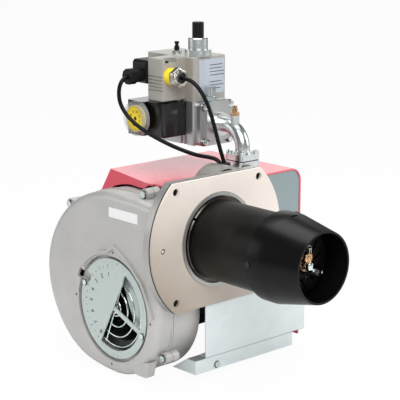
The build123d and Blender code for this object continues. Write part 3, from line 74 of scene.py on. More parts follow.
# Heights and distances along the CAD axes, in metres, where a finish changes.
PARTING_LINE_X = -0.070         # seam between the two halves of the fan casing, where a dark line paints the shade in its groove
SHELF_Z = (-0.0985, -0.0955)    # the sheet turns to a painted shade colour between these heights, for the shade under the hood
FOOT_JOINT_Z = -0.1760          # where the front plate's foot meets the base channel; a dark line there paints the shadow in the gap
PRINT_T = 0.00005               # thickness of printed ink
PRINT_GAP = 0.00004             # the ink is placed this far in front of the printed face
STROKE_SHARE = 0.018            # of a character's size, added to its strokes

FAN_AXIS = Vector(frame["joints"][0]["pos_m"])
DIAL_AXIS = Vector(frame["joints"][2]["pos_m"])


# ------------------------------------------------------------------ shader maths
class Value:
    """A number on a socket, so that masks and mixes are written as plain expressions."""

    def __init__(self, finish, socket):
        self.finish = finish
        self.socket = socket

    def maths(self, operation, first, second):
        return Value(self.finish, self.finish.node("ShaderNodeMath", {"operation": operation},
                                                   {0: first, 1: second}).outputs[0])

    def __add__(self, other):
        return self.maths("ADD", self, other)

    def __mul__(self, other):
        return self.maths("MULTIPLY", self, other)

    __radd__ = __add__
    __rmul__ = __mul__


class Finish:
    """A material and the nodes behind its surface."""

    def __init__(self, name, colour, roughness, metallic=0.0, coat=0.0):
        self.material = bpy.data.materials.new(name)
        self.material.use_nodes = True
        self.tree = self.material.node_tree
        self.surface = self.tree.nodes["Principled BSDF"]
        self.place = self.tree.nodes.new("ShaderNodeTexCoord").outputs["Object"]
        self.colour = tuple(colour) + (1.0,)
        self.put("Base Color", self.colour)
        self.put("Roughness", roughness)
        self.put("Metallic", metallic)
        self.put("Coat Weight", coat)

    def link(self, socket, value):
        if isinstance(value, Value):
            self.tree.links.new(value.socket, socket)
        elif isinstance(value, bpy.types.NodeSocket):
            self.tree.links.new(value, socket)
        else:
            socket.default_value = value

    def node(self, kind, settings, inputs):
        made = self.tree.nodes.new(kind)
        for key, value in settings.items():
            setattr(made, key, value)
        for key, value in inputs.items():
            self.link(made.inputs[key], value)
        return made

    def put(self, name, value):
        self.link(self.surface.inputs[name], value)

    def stretched(self, scale):
        return self.node("ShaderNodeMapping", {}, {"Vector": self.place, "Scale": scale}).outputs[0]

    def noise(self, scale, detail=3.0, vector=None):
        made = self.node("ShaderNodeTexNoise", {}, {"Vector": vector or self.place, "Scale": scale,
                                                    "Detail": detail})
        return Value(self, made.outputs[0])

    def cells(self, scale):
        return self.node("ShaderNodeTexVoronoi", {}, {"Vector": self.place, "Scale": scale})

    def band(self, value, low, high):
        """0 below low, 1 above high, and even between them."""
        made = self.node("ShaderNodeMapRange", {"clamp": True},
                         {"Value": value, "From Min": low, "From Max": high})
        return Value(self, made.outputs[0])

    def line(self, value, middle, outer, inner):
        """1 within inner of the middle, 0 past outer."""
        return (self.band(value, middle - outer, middle - inner)
                * self.band(value, middle + outer, middle + inner))

    def blend(self, mask, first, second):
        made = self.node("ShaderNodeMix", {"data_type": "RGBA"}, {0: mask, 6: first, 7: second})
        return made.outputs[2]

    def bump(self, height, depth, strength=1.0):
        made = self.node("ShaderNodeBump", {}, {"Height": height, "Distance": depth,
                                                "Strength": strength})
        self.put("Normal", made.outputs[0])

    def across(self, axis):
        made = self.node("ShaderNodeSeparateXYZ", {}, {0: self.place})
        return Value(self, made.outputs[axis])


def tone(colour, factor):
    return tuple(min(1.0, channel * factor) for channel in colour[:3]) + (1.0,)


FINISHES = {}


def casting_finish(name, colour, roughness, metallic, darkening, seam=None):
    """Blasted casting: fine grain, cloudy patches, rubbed places and a dark line of painted shade
    in the parting line's groove.
    """
    finish = Finish(name, colour, roughness, metallic)
    clouds = finish.band(finish.noise(14, 4), 0.35, 0.7)
    grain = finish.noise(1400, 2)
    rubbed = finish.band(finish.noise(38, 6), 0.6, 0.78)
    base = finish.blend(clouds, tone(colour, 0.93), tone(colour, 1.05))
    base = finish.blend(rubbed * darkening, base, tone(colour, 0.72))
    # painted shade: a dark line along the groove between the casing's halves
    if seam is not None:
        line = finish.line(finish.across(0), seam, 0.0006, 0.0003)
        base = finish.blend(line * 0.8, base, tone(colour, 0.18))
    finish.put("Base Color", base)
    finish.put("Roughness", grain * 0.16 + clouds * 0.06 + (roughness - 0.1))
    finish.bump(grain + rubbed * 0.3, 0.00012, 0.5)
    return finish.material


def paint_finish(name, colour, roughness, coat, peel):
    """Sprayed paint with a slight orange peel, and dust in the gloss."""
    finish = Finish(name, colour, roughness, 0.0, coat)
    clouds = finish.noise(9, 3)
    dust = finish.band(finish.noise(260, 5), 0.55, 0.8)
    finish.put("Base Color", finish.blend(clouds, tone(colour, 0.98), tone(colour, 1.02)))
    finish.put("Roughness", dust * 0.02 + clouds * 0.02 + (roughness - 0.03))
    finish.surface.inputs["Coat Roughness"].default_value = 0.06
    finish.bump(finish.noise(420, 1), peel, 0.35)
    return finish.material


def sheet_finish(name, colour, roughness, metallic, spangle, shaded_upper=None):
    """Galvanised sheet: crystal spangle, rolling lines and pale bloom.

    With that colour given, the sheet above the shelf takes it as painted shade under the hood,
    and a dark line paints the shadow in the gap between the front plate's foot and the base
    channel.
    """
    finish = Finish(name, colour, roughness, metallic)
    crystal = finish.cells(spangle)
    shade = finish.node("ShaderNodeSeparateColor", {}, {0: crystal.outputs["Color"]})
    flake = Value(finish, shade.outputs[0])
    lines = finish.noise(1.0, 2, finish.stretched((30.0, 30.0, 900.0)))
    bloom = finish.band(finish.noise(22, 5), 0.5, 0.75)
    base = finish.blend(flake, tone(colour, 0.97), tone(colour, 1.03))
    base = finish.blend(bloom * 0.35, base, tone(colour, 1.08))
    if shaded_upper:
        # painted shade: above the shelf the sheet darkens to the given colour, for the shade under
        # the hood
        height = finish.across(2)
        base = finish.blend(finish.band(height, *SHELF_Z), base, shaded_upper)
        # painted shadow: a dark line along the gap between the front plate's foot and the base
        # channel
        joint = finish.line(height, FOOT_JOINT_Z, 0.0008, 0.0003)
        base = finish.blend(joint * 0.75, base, tone(colour, 0.25))
    finish.put("Base Color", base)
    finish.put("Roughness", flake * 0.12 + lines * 0.08 + (roughness - 0.1))
    finish.bump(lines * 0.5 + flake * 0.4, 0.00006, 0.4)
    return finish.material


def plate_finish(name, colour, roughness, tint, metallic=1.0):
    """Bright plated steel, a little iridescent, with fine handling marks."""
    finish = Finish(name, colour, roughness, metallic)
    drift = finish.band(finish.noise(55, 3), 0.4, 0.62)
    marks = finish.band(finish.noise(300, 6), 0.56, 0.7)
    finish.put("Base Color", finish.blend(drift, tone(colour, 1.0), tuple(tint) + (1.0,)))
    finish.put("Roughness", marks * 0.18 + (roughness - 0.04))
    finish.bump(finish.noise(900, 3), 0.00004, 0.4)
    return finish.material


def moulded_finish(name, colour, roughness, grain, coat=0.0, gleam=0.5, alpha=1.0):
    """Moulded plastic or rubber with a fine texture and slight wear."""
    finish = Finish(name, colour, roughness, 0.0, coat)
    finish.surface.inputs["Specular IOR Level"].default_value = gleam
    finish.surface.inputs["Alpha"].default_value = alpha
    fine = finish.noise(grain, 2)
    worn = finish.band(finish.noise(30, 5), 0.55, 0.8)
    finish.put("Base Color", finish.blend(worn * 0.5, tone(colour, 1.0), tone(colour, 1.35)))
    finish.put("Roughness", fine * 0.14 + worn * 0.08 + (roughness - 0.1))
    finish.bump(fine, 0.0001, 0.35)
    return finish.material


def enamel_finish(name, colour, sheen_colour, roughness, coat):
    """Black heat-proof enamel with random brownish patches, a painted sheen."""
    finish = Finish(name, colour, roughness, 0.0, coat)
    finish.surface.inputs["Specular IOR Level"].default_value = 0.16
    # painted sheen: random brownish patches that stand for the brownish sheen of a highlight
    painted_sheen = finish.band(finish.noise(11, 4), 0.42, 0.7)
    speck = finish.noise(1100, 2)
    finish.put("Base Color", finish.blend(painted_sheen, tone(colour, 1.0), tuple(sheen_colour) + (1.0,)))
    finish.put("Roughness", speck * 0.12 + painted_sheen * 0.1 + (roughness - 0.1))
    finish.bump(speck, 0.00008, 0.35)
    return finish.material


def gasket_finish(name, colour, darkening):
    """Pressed fibre board: short flecks, faint mottling, and painted shade that makes the lower
    half browner and darker.
    """
    finish = Finish(name, colour, 0.85)
    fleck = finish.band(finish.noise(700, 3), 0.5, 0.72)
    mottle = finish.noise(26, 4)
    # painted shade: the board darkens and browns towards its lower left, as the light falls off
    low = finish.band(finish.across(2) * -1.0 + finish.across(0) * -0.75, -0.06, 0.15)
    base = finish.blend(mottle, tone(colour, 0.96), tone(colour, 1.05))
    low_shaded = finish.blend(low * 0.85, base, tuple(darkening) + (1.0,))
    finish.put("Base Color", finish.blend(fleck * 0.12, low_shaded, tone(darkening, 0.6)))
    finish.bump(fleck + mottle * 0.4, 0.00015, 0.5)
    return finish.material


def make_finishes(look):
    metal = tuple(look.casting)
    zinc = (0.76, 0.80, 0.80)
    FINISHES.update({
        "casting": casting_finish("Blasted aluminium", metal, 0.46, 0.5, 0.3,
                                 PARTING_LINE_X),
        "flange casting": casting_finish("Machined aluminium", tone(metal, 0.85)[:3], 0.40, 0.7,
                                         0.4),
        "valve casting": casting_finish("Die-cast aluminium", (0.56, 0.57, 0.57), 0.34, 0.9, 0.5),
        "red": paint_finish("Glossy red powder coat", tuple(look.hood), 0.28, 0.5, 0.00002),
        "beige": paint_finish("Beige-grey paint", tuple(look.valve), 0.45, 0.0, 0.00008),
        "motor black": paint_finish("Black motor paint", (0.01, 0.01, 0.011), 0.45, 0.0, 0.0001),
        # the second colour is painted shade for the sheet above the shelf, under the hood
        "galvanised": sheet_finish("Galvanised sheet", (0.76, 0.82, 0.83), 0.40, 0.35, 60.0,
                                   (0.30, 0.36, 0.37, 1)),
        "damper": sheet_finish("Passivated sheet", (0.53, 0.60, 0.57), 0.36, 0.5, 60.0),
        # painted shade: near-black sheet for the fan wheel and inlet cone deep inside the casing
        "inner shade sheet": sheet_finish("Inner sheet in painted shade", (0.05, 0.055, 0.055), 0.5, 0.6, 60.0),
        "zinc": plate_finish("Bright zinc plating", zinc, 0.17, (0.60, 0.70, 0.68)),
        "nickel": plate_finish("Nickel plating", (0.62, 0.59, 0.53), 0.22, (0.50, 0.48, 0.44)),
        "brass": plate_finish("Turned brass", (0.70, 0.42, 0.22), 0.25, (0.80, 0.55, 0.34)),
        "dull brass": plate_finish("Smoked brass", (0.36, 0.22, 0.12), 0.3, (0.50, 0.34, 0.20)),
        "satin zinc": plate_finish("Satin zinc plating", (0.84, 0.85, 0.85), 0.32,
                                   (0.72, 0.77, 0.76)),
        # dark steel; on the clamp ring and the rings under the screw heads it is painted shade
        "dark steel": plate_finish("Dark steel and painted shade", (0.06, 0.055, 0.05), 0.35, (0.10, 0.09, 0.08)),
        # painted shade: near-black steel for the flame disc and gas lance in the tube's dark mouth
        "mouth shade steel": plate_finish("Steel in painted shade", (0.035, 0.03, 0.028), 0.5,
                                     (0.05, 0.045, 0.045)),
        # the second colour is the painted brownish sheen
        "tube": enamel_finish("Matt black enamel", (0.003, 0.003, 0.0025), (0.019, 0.015, 0.011),
                              0.44, 0.0),
        "head": enamel_finish("Satin black enamel", (0.004, 0.004, 0.0045), (0.005, 0.005, 0.006),
                              0.33, 0.0),
        # the last colour is the painted shade of the board's lower half
        "gasket": gasket_finish("Gasket board", tuple(look.gasket), (0.31, 0.25, 0.19)),
        "black plastic": moulded_finish("Black moulding", (0.006, 0.006, 0.007), 0.42, 1500.0,
                                        gleam=0.25),
        "gloss black": moulded_finish("Glossy black moulding", (0.005, 0.005, 0.006), 0.18, 600.0,
                                      0.15, 0.45),
        "yellow": moulded_finish("Yellow moulding", (0.90, 0.68, 0.01), 0.35, 900.0, 0.1),
        "clear": moulded_finish("Clear moulding", (0.60, 0.61, 0.60), 0.12, 900.0, 0.7, 0.8, 0.30),
        "rubber": moulded_finish("Black rubber", (0.006, 0.006, 0.006), 0.6, 1800.0),
        "sheath": moulded_finish("Cable sheath", (0.003, 0.003, 0.0035), 0.36, 1500.0, gleam=0.2),
        # painted shade: the electrode ceramics made dark, as they sit in the dark mouth of the tube
        "ceramic": moulded_finish("Ceramic in painted shade", (0.10, 0.09, 0.08), 0.4, 900.0),
        "sticker": moulded_finish("White label stock", (0.88, 0.88, 0.87), 0.4, 700.0),
        "label": moulded_finish("Bluish label stock", (0.43, 0.47, 0.52), 0.4, 700.0),
        "ink": moulded_finish("Grey printing ink", (0.06, 0.07, 0.08), 0.5, 700.0),
        "dial ink": moulded_finish("Brown printing ink", (0.10, 0.06, 0.01), 0.5, 700.0),
        "shadow": moulded_finish("Painted shadow black", (0.004, 0.004, 0.004), 0.7, 700.0, gleam=0.2),
    })


NODE_FINISH = {
    "blast_tube": "tube", "head_sleeve": "head", "sleeve_screws": "rubber",
    "flame_disc": "mouth shade steel", "gas_lance": "mouth shade steel", "gas_nozzle": "dull brass",
    "electrode_ceramics": "ceramic", "electrode_wires": "zinc", "electrode_clamp": "dull brass",
    # the clamp ring's dark steel paints the dark gaps round it
    "flange_gasket": "gasket", "gasket_screws": "nickel", "burner_flange": "flange casting",
    "tube_clamp_ring": "dark steel", "cable_grommet": "rubber", "housing_cover": "casting",
    "fan_housing": "casting", "housing_screws": "zinc", "air_damper": "damper",
    "damper_bar": "damper", "damper_screws": "zinc", "intake_guard": "zinc",
    "intake_baffle": "damper", "inlet_cone": "inner shade sheet", "fan_wheel": "inner shade sheet",
    "motor_shaft": "dark steel", "motor_body": "motor black", "motor_screws": "zinc",
    "front_panel": "galvanised", "base_bracket": "galvanised", "bracket_screw": "zinc",
    "hood": "red", "hood_screws": "zinc", "control_box": "beige",
    "ignition_transformer": "black plastic", "counter_flange": "satin zinc", "pipe_seal": "rubber",
    "gas_elbow": "satin zinc", "pressure_nipple": "brass", "pipe_bolts": "zinc",
    "outlet_flange": "valve casting", "outlet_screws": "zinc", "valve_body": "valve casting",
    "terminal_screw": "dark steel", "inlet_flange": "valve casting", "valve_housing": "beige",
    "terminal_box": "beige", "gland_sleeve": "yellow", "gland_nut": "nickel",
    "din_plug": "black plastic", "pressure_switch": "gloss black", "dial_ring": "clear",
    "switch_dial": "yellow", "column_base": "satin zinc", "brake_column": "satin zinc",
    "setting_cap": "black plastic", "nipple_base": "zinc", "test_nipple": "black plastic",
    "bleed_fitting": "zinc", "plug_cable": "sheath", "valve_cable": "sheath",
}


# ------------------------------------------------------------------ modelling helpers
def pick(piece):
    """Selects one object alone and makes it active."""
    if bpy.context.object and bpy.context.object.mode != "OBJECT":
        bpy.ops.object.mode_set(mode="OBJECT")
    bpy.ops.object.select_all(action="DESELECT")
    piece.select_set(True)
    bpy.context.view_layer.objects.active = piece


def settle(piece):
    """Moves the object's place into its mesh."""
    pick(piece)
    bpy.ops.object.transform_apply(location=True, rotation=True, scale=True)


def coat_with(piece, finish):
    piece.data.materials.clear()
    piece.data.materials.append(FINISHES[finish])


def finished(piece, name, finish, body, angle=35.0):
    """Names a new piece, gives it its finish and its body, and smooths its round faces."""
    piece.name = name
    settle(piece)
    bpy.ops.object.shade_smooth_by_angle(angle=radians(angle))
    coat_with(piece, finish)
    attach(piece, body)
    return piece


def apply_modifier(piece, kind, name, **settings):
    pick(piece)
    made = piece.modifiers.new(name, kind)
    for key, value in settings.items():
        setattr(made, key, value)
    bpy.ops.object.modifier_apply(modifier=name)


def rounded_plate(width, height, thickness, corner, matrix):
    """A thin plate with round corners: a plane, its corners bevelled, then extruded."""
    bpy.ops.object.select_all(action="DESELECT")
    bpy.ops.mesh.primitive_plane_add(size=1)
    piece = bpy.context.object
    piece.data.transform(Matrix.Diagonal((width, height, 1, 1)))
    bpy.ops.object.mode_set(mode="EDIT")
    bpy.ops.mesh.select_all(action="SELECT")
    bpy.ops.mesh.bevel(offset=corner, segments=6, affect="VERTICES")
    bpy.ops.mesh.select_all(action="SELECT")
    bpy.ops.mesh.extrude_region_move(TRANSFORM_OT_translate={"value": (0, 0, thickness)})
    bpy.ops.mesh.select_all(action="SELECT")
    bpy.ops.mesh.normals_make_consistent(inside=False)
    bpy.ops.object.mode_set(mode="OBJECT")
    piece.data.transform(matrix)
    return piece


def joined(pieces, name, finish, body, angle=35.0):
    """Joins like pieces into one object."""
    bpy.ops.object.select_all(action="DESELECT")
    for piece in pieces:
        piece.select_set(True)
    bpy.context.view_layer.objects.active = pieces[0]
    bpy.ops.object.join()
    return finished(bpy.context.object, name, finish, body, angle)


def facing(origin, right, up):
    """Matrix that lays a flat XY drawing at a place, with its own right and up."""
    right = Vector(right).normalized()
    up = Vector(up).normalized()
    out = right.cross(up)
    turn = Matrix((right, up, out)).transposed().to_4x4()
    return Matrix.Translation(origin) @ turn


def radial(centre, angle, radius):
    """Place on a disc that faces left, with its top pointing outwards."""
    out = Vector((0, cos(angle), sin(angle)))
    return facing(centre + out * radius, out.cross((-1, 0, 0)), out)


def printed(text, size, matrix):
    """Raised printing: flat text, made a mesh and given its thickness."""
    bpy.ops.object.select_all(action="DESELECT")
    bpy.ops.object.text_add()
    piece = bpy.context.object
    piece.data.body = text
    piece.data.size = size
    piece.data.extrude = PRINT_T
    piece.data.offset = size * STROKE_SHARE
    piece.data.align_x = "CENTER"
    piece.data.align_y = "CENTER"
    bpy.ops.object.convert(target="MESH")
    piece = bpy.context.object
    piece.data.transform(matrix)
    return piece


def drum(sides, radius, length, centre, axis, chamfer):
    """A prism round a point along one axis, with both rims chamfered."""
    turns = ((0, radians(90), 0), (radians(90), 0, 0), (0, 0, 0))
    bpy.ops.object.select_all(action="DESELECT")
    bpy.ops.mesh.primitive_cylinder_add(vertices=sides, radius=radius, depth=length,
                                        rotation=turns[axis], location=centre)
    piece = bpy.context.object
    settle(piece)
    if chamfer:
        apply_modifier(piece, "BEVEL", "chamfer", width=chamfer, segments=3,
                       limit_method="ANGLE", angle_limit=radians(55))
    return piece


def solids_of(node):
    """The separate solids of a CAD node, each as its lowest and highest corner."""
    mesh = NODES[node].data
    places = {}
    parent = list(range(len(mesh.vertices)))
    keys = {}

    def root(index):
        while parent[index] != index:
            parent[index] = parent[parent[index]]
            index = parent[index]
        return index

    for vertex in mesh.vertices:
        key = tuple(round(value, 5) for value in vertex.co)
        first = keys.setdefault(key, vertex.index)
        parent[root(vertex.index)] = root(first)
    for edge in mesh.edges:
        parent[root(edge.vertices[0])] = root(edge.vertices[1])
    for vertex in mesh.vertices:
        places.setdefault(root(vertex.index), []).append(vertex.co)
    boxes = []
    for points in places.values():
        low = Vector(min(point[axis] for point in points) for axis in range(3))
        high = Vector(max(point[axis] for point in points) for axis in range(3))
        boxes.append((low, high))
    return sorted(boxes, key=lambda corners: tuple(corners[0]))


HEAD_PROUD = 0.0001             # the new head's top, past the CAD screw's
SHADE_RING_RIM = 0.0009             # the dark ring of painted shade shows round the head
SHADE_RING_T = 0.0004
SHADE_RING_LIFT = 0.0003            # the dark ring's middle above the foot of the head
SLOT_FIRST = radians(25)        # the recesses of a row of screws point different ways
SLOT_STEP = radians(40)


def screw_head(radius, height, depth):
    """A pan head, its top at the origin, with a cross recess, looking along +Z."""
    bpy.ops.object.select_all(action="DESELECT")
    bpy.ops.mesh.primitive_cylinder_add(vertices=32, radius=radius, depth=height + depth,
                                        location=(0, 0, -(height + depth) / 2))
    head = bpy.context.object
    settle(head)
    bpy.ops.object.mode_set(mode="EDIT")
    bpy.ops.mesh.select_all(action="DESELECT")
    bpy.ops.object.mode_set(mode="OBJECT")
    for edge in head.data.edges:
        ends = [head.data.vertices[index].co.z for index in edge.vertices]
        edge.select = min(ends) > -height / 4
    bpy.ops.object.mode_set(mode="EDIT")
    bpy.ops.mesh.bevel(offset=height * 0.42, segments=4)
    bpy.ops.object.mode_set(mode="OBJECT")
    for turn in (0, 90):
        bpy.ops.object.select_all(action="DESELECT")
        bpy.ops.mesh.primitive_cube_add(size=1, rotation=(0, 0, radians(turn)))
        tool = bpy.context.object
        tool.scale = (radius * 1.1, radius * 0.22, height * 1.1)     # length, width, depth
        settle(tool)
        apply_modifier(head, "BOOLEAN", "recess", operation="DIFFERENCE", object=tool)
        bpy.data.objects.remove(tool)
    return head


def dress_screws(node, axis, sign, name, finish, body, head_height, depth=0.0005):
    """Puts detailed heads on a node's screws, along one axis, each on a dark ring of painted shade
    round its foot.
    """
    out = Vector((0, 0, 0))
    out[axis] = sign
    right = Vector((0, 0, 1)) if axis != 2 else Vector((1, 0, 0))
    up = out.cross(right)
    heads = []
    shade_rings = []
    for low, high in solids_of(node):
        middle = (low + high) / 2
        middle[axis] = high[axis] if sign > 0 else low[axis]
        others = [high[other] - low[other] for other in range(3) if other != axis]
        head = screw_head(max(others) / 2, head_height, depth)
        turn = SLOT_FIRST + SLOT_STEP * len(heads)
        head.data.transform(facing(middle + out * HEAD_PROUD, right, up)
                            @ Matrix.Rotation(turn, 4, "Z"))
        heads.append(head)
        # painted shade: a thin dark disc just wider than the head, round its foot
        bpy.ops.object.select_all(action="DESELECT")
        bpy.ops.mesh.primitive_cylinder_add(vertices=32, radius=max(others) / 2 + SHADE_RING_RIM,
                                            depth=SHADE_RING_T)
        shade_ring = bpy.context.object
        drop = head_height + depth - SHADE_RING_LIFT
        shade_ring.data.transform(facing(middle - out * drop, right, up))
        shade_rings.append(shade_ring)
    joined(shade_rings, name + "_washers", "dark steel", body, 40)
    return joined(heads, name, finish, body, 40)


# ------------------------------------------------------------------ settings
class BurnerLook(bpy.types.PropertyGroup):
    casting: FloatVectorProperty(name="Casting", description="Colour of the aluminium castings",
                                 default=(0.55, 0.54, 0.52), subtype="COLOR", min=0, max=1)
    hood: FloatVectorProperty(name="Hood", description="Colour of the hood's powder coat",
                              default=(0.75, 0.105, 0.145), subtype="COLOR", min=0, max=1)
    valve: FloatVectorProperty(name="Valve", description="Colour of the painted coil housing",
                               default=(0.35, 0.335, 0.305), subtype="COLOR", min=0, max=1)
    gasket: FloatVectorProperty(name="Gasket", description="Colour of the gasket board",
                                default=(0.87, 0.79, 0.72), subtype="COLOR", min=0, max=1)
    edge_angle: FloatProperty(name="Edge angle", description="Edges sharper than this stay sharp",
                              default=radians(32), subtype="ANGLE", min=0.1, max=1.5)


class ScaleSettings(bpy.types.PropertyGroup):
    digit_radius: FloatProperty(name="Digit radius", description="From the fan axis to the digits",
                                default=0.0505, subtype="DISTANCE", unit="LENGTH")
    digit_height: FloatProperty(name="Digit height", description="Height of the damper's digits",
                                default=0.0095, subtype="DISTANCE", unit="LENGTH")
    first_angle: FloatProperty(name="First digit", description="Direction of the digit 1",
                               default=radians(80), subtype="ANGLE")
    digit_step: FloatProperty(name="Digit step", description="Turn from one digit to the next",
                              default=radians(-19.3), subtype="ANGLE")
    digits: IntProperty(name="Digits", description="How many digits the scale has", default=8,
                        min=1, max=9)


class CableSettings(bpy.types.PropertyGroup):
    diameter: FloatProperty(name="Diameter", description="Outside diameter of both cables",
                            default=0.006, subtype="DISTANCE", unit="LENGTH", min=0.001)
    facets: IntProperty(name="Roundness", description="Steps round a quarter of the cable",
                        default=5, min=1, max=12)


class StageSettings(bpy.types.PropertyGroup):
    lens: FloatProperty(name="Lens", description="Focal length in millimetres", default=126.4,
                        min=10, max=400)
    distance: FloatProperty(name="Camera distance", description="From the camera to its target",
                            default=1.970, subtype="DISTANCE", unit="LENGTH")
    azimuth: FloatProperty(name="Camera azimuth", description="Round the burner, 0 looks along +Y",
                           default=radians(-42.3), subtype="ANGLE")
    elevation: FloatProperty(name="Camera elevation", description="Above the horizon",
                             default=radians(13.3), subtype="ANGLE")
    key_power: FloatProperty(name="Key lamp", description="Power of the main soft lamp",
                             default=36.0, unit="POWER", min=0)


# ------------------------------------------------------------------ the stage
CAMERA_TARGET = (-0.0270, 0.0089, 0.0595)
CLIP_END = 20
# Name, place, side in metres, and power as a share of the key lamp's.
SOFTBOXES = (("Key softbox", (-0.9, -1.3, 1.4), 1.3, 1.0),
             ("Right softbox", (1.5, -0.9, 0.7), 0.9, 0.3),
             ("Top softbox", (0.1, 0.3, 1.7), 1.2, 0.55),
             ("Rear softbox", (1.35, 1.5, 0.72), 1.1, 0.11),
             ("Left softbox", (-1.5, 1.45, 0.62), 1.1, 0.18))
FILL_COLOUR = (0.93, 0.96, 1.0, 1)
FILL_STRENGTH = 0.24
MIRRORED_COLOUR = (0.90, 0.97, 1.0, 1)
MIRRORED_STRENGTH = 0.12        # what gloss and metal see, dimmer than the white behind
WHITE = (1, 1, 1, 1)
FLOOR_SIZE = 30
FLOOR_DROP = 0.001              # the floor below the lowest piece
FLOOR_COLOUR = (0.86, 0.86, 0.86, 1)
FLOOR_ROUGHNESS = 0.9
FLOOR_GLOW = 0.96               # how much of the seen floor is white rather than lit


def mixed(tree, factor, first, second):
    """A Mix Shader between two sockets, and its own output socket."""
    mix = tree.nodes.new("ShaderNodeMixShader")
    for index, socket in enumerate((factor, first, second)):
        tree.links.new(socket, mix.inputs[index])
    return mix.outputs[0]


class BURNER_OT_stage(bpy.types.Operator):
    """Camera, soft lamps, a pale floor and a white surround"""
    bl_idname = "burner.stage"
    bl_label = "Stage"

    def execute(self, context):
        stage = context.scene.burner_stage
        target = Vector(CAMERA_TARGET)
        flat = cos(stage.elevation)
        back = Vector((sin(stage.azimuth) * flat, -cos(stage.azimuth) * flat, sin(stage.elevation)))
        self.camera(context, target, back, stage)
        for name, place, size, share in SOFTBOXES:
            self.lamp(name, place, size, stage.key_power * share, target)
        self.surround(context)
        self.floor()
        context.scene.view_settings.view_transform = "Standard"
        return {"FINISHED"}

    def camera(self, context, target, back, stage):
        data = bpy.data.cameras.new("Camera")
        camera = bpy.data.objects.new("Camera", data)
        context.scene.collection.objects.link(camera)
        data.sensor_width = 36
        data.lens = stage.lens
        data.clip_end = CLIP_END
        right = Vector((0, 0, 1)).cross(back).normalized()
        up = back.cross(right)
        turn = Matrix((right, up, back)).transposed().to_4x4()
        camera.matrix_world = Matrix.Translation(target + back * stage.distance) @ turn
        context.scene.camera = camera

    def lamp(self, name, place, size, power, target):
        data = bpy.data.lights.new(name, "AREA")
        data.shape = "SQUARE"
        data.size = size
        data.energy = power
        lamp = bpy.data.objects.new(name, data)
        lamp.visible_camera = False
        bpy.context.scene.collection.objects.link(lamp)
        aim = (Vector(place) - target).to_track_quat("Z", "Y").to_matrix().to_4x4()
        lamp.matrix_world = Matrix.Translation(place) @ aim

    def surround(self, context):
        world = bpy.data.worlds.new("White studio")
        context.scene.world = world
        world.use_nodes = True
        tree = world.node_tree
        tree.nodes.remove(tree.nodes["Background"])
        path = tree.nodes.new("ShaderNodeLightPath")
        fill = self.background(tree, FILL_COLOUR, FILL_STRENGTH)
        mirrored = self.background(tree, MIRRORED_COLOUR, MIRRORED_STRENGTH)
        seen = self.background(tree, WHITE, 1.0)
        lit = mixed(tree, path.outputs["Is Glossy Ray"], fill, mirrored)
        result = mixed(tree, path.outputs["Is Camera Ray"], lit, seen)
        tree.links.new(result, tree.nodes["World Output"].inputs["Surface"])

    def background(self, tree, colour, strength):
        made = tree.nodes.new("ShaderNodeBackground")
        made.inputs["Color"].default_value = colour
        made.inputs["Strength"].default_value = strength
        return made.outputs[0]

    def floor(self):
        bpy.ops.object.select_all(action="DESELECT")
        bpy.ops.mesh.primitive_plane_add(size=FLOOR_SIZE,
                                         location=(0, 0, CAD_BOX[0][2] - FLOOR_DROP))
        floor = bpy.context.object
        floor.name = "Floor"
        settle(floor)
        material = bpy.data.materials.new("White floor")
        material.use_nodes = True
        tree = material.node_tree
        matt = tree.nodes["Principled BSDF"]
        matt.inputs["Base Color"].default_value = FLOOR_COLOUR
        matt.inputs["Roughness"].default_value = FLOOR_ROUGHNESS
        matt.inputs["Specular IOR Level"].default_value = 0.0
        glow = tree.nodes.new("ShaderNodeEmission")
        glow.inputs["Strength"].default_value = 1.0
        path = tree.nodes.new("ShaderNodeLightPath")
        share = tree.nodes.new("ShaderNodeMath")
        share.operation = "MULTIPLY"
        share.inputs[1].default_value = FLOOR_GLOW
        tree.links.new(path.outputs["Is Camera Ray"], share.inputs[0])
        result = mixed(tree, share.outputs[0], matt.outputs[0], glow.outputs[0])
        tree.links.new(result, tree.nodes["Material Output"].inputs["Surface"])
        floor.data.materials.append(material)


# ------------------------------------------------------------------ the pieces
WELD_REACH = 0.00001            # joins the loose corners of the frame's triangles


class BURNER_OT_finishes(bpy.types.Operator):
    """Makes the finishes, puts one on every piece of the frame, and smooths the round faces"""
    bl_idname = "burner.finishes"
    bl_label = "Finishes"

    def execute(self, context):
        look = context.scene.burner_look
        make_finishes(look)
        for node, piece in NODES.items():
            pick(piece)
            coat_with(piece, NODE_FINISH[node])
            bpy.ops.object.shade_smooth()
            weld = piece.modifiers.new("Weld", "WELD")
            weld.merge_threshold = WELD_REACH
            split = piece.modifiers.new("Crisp edges", "EDGE_SPLIT")
            split.split_angle = look.edge_angle
        return {"FINISHED"}


DAMPER_MARKS_R = 0.0605         # from the fan's axis to the inner ends of the marks
DAMPER_MARK_LONG = 0.0052
DAMPER_MARK_SHORT = 0.003
DAMPER_MARK_W = 0.0009
DAMPER_MARK_ROUND = 0.0002


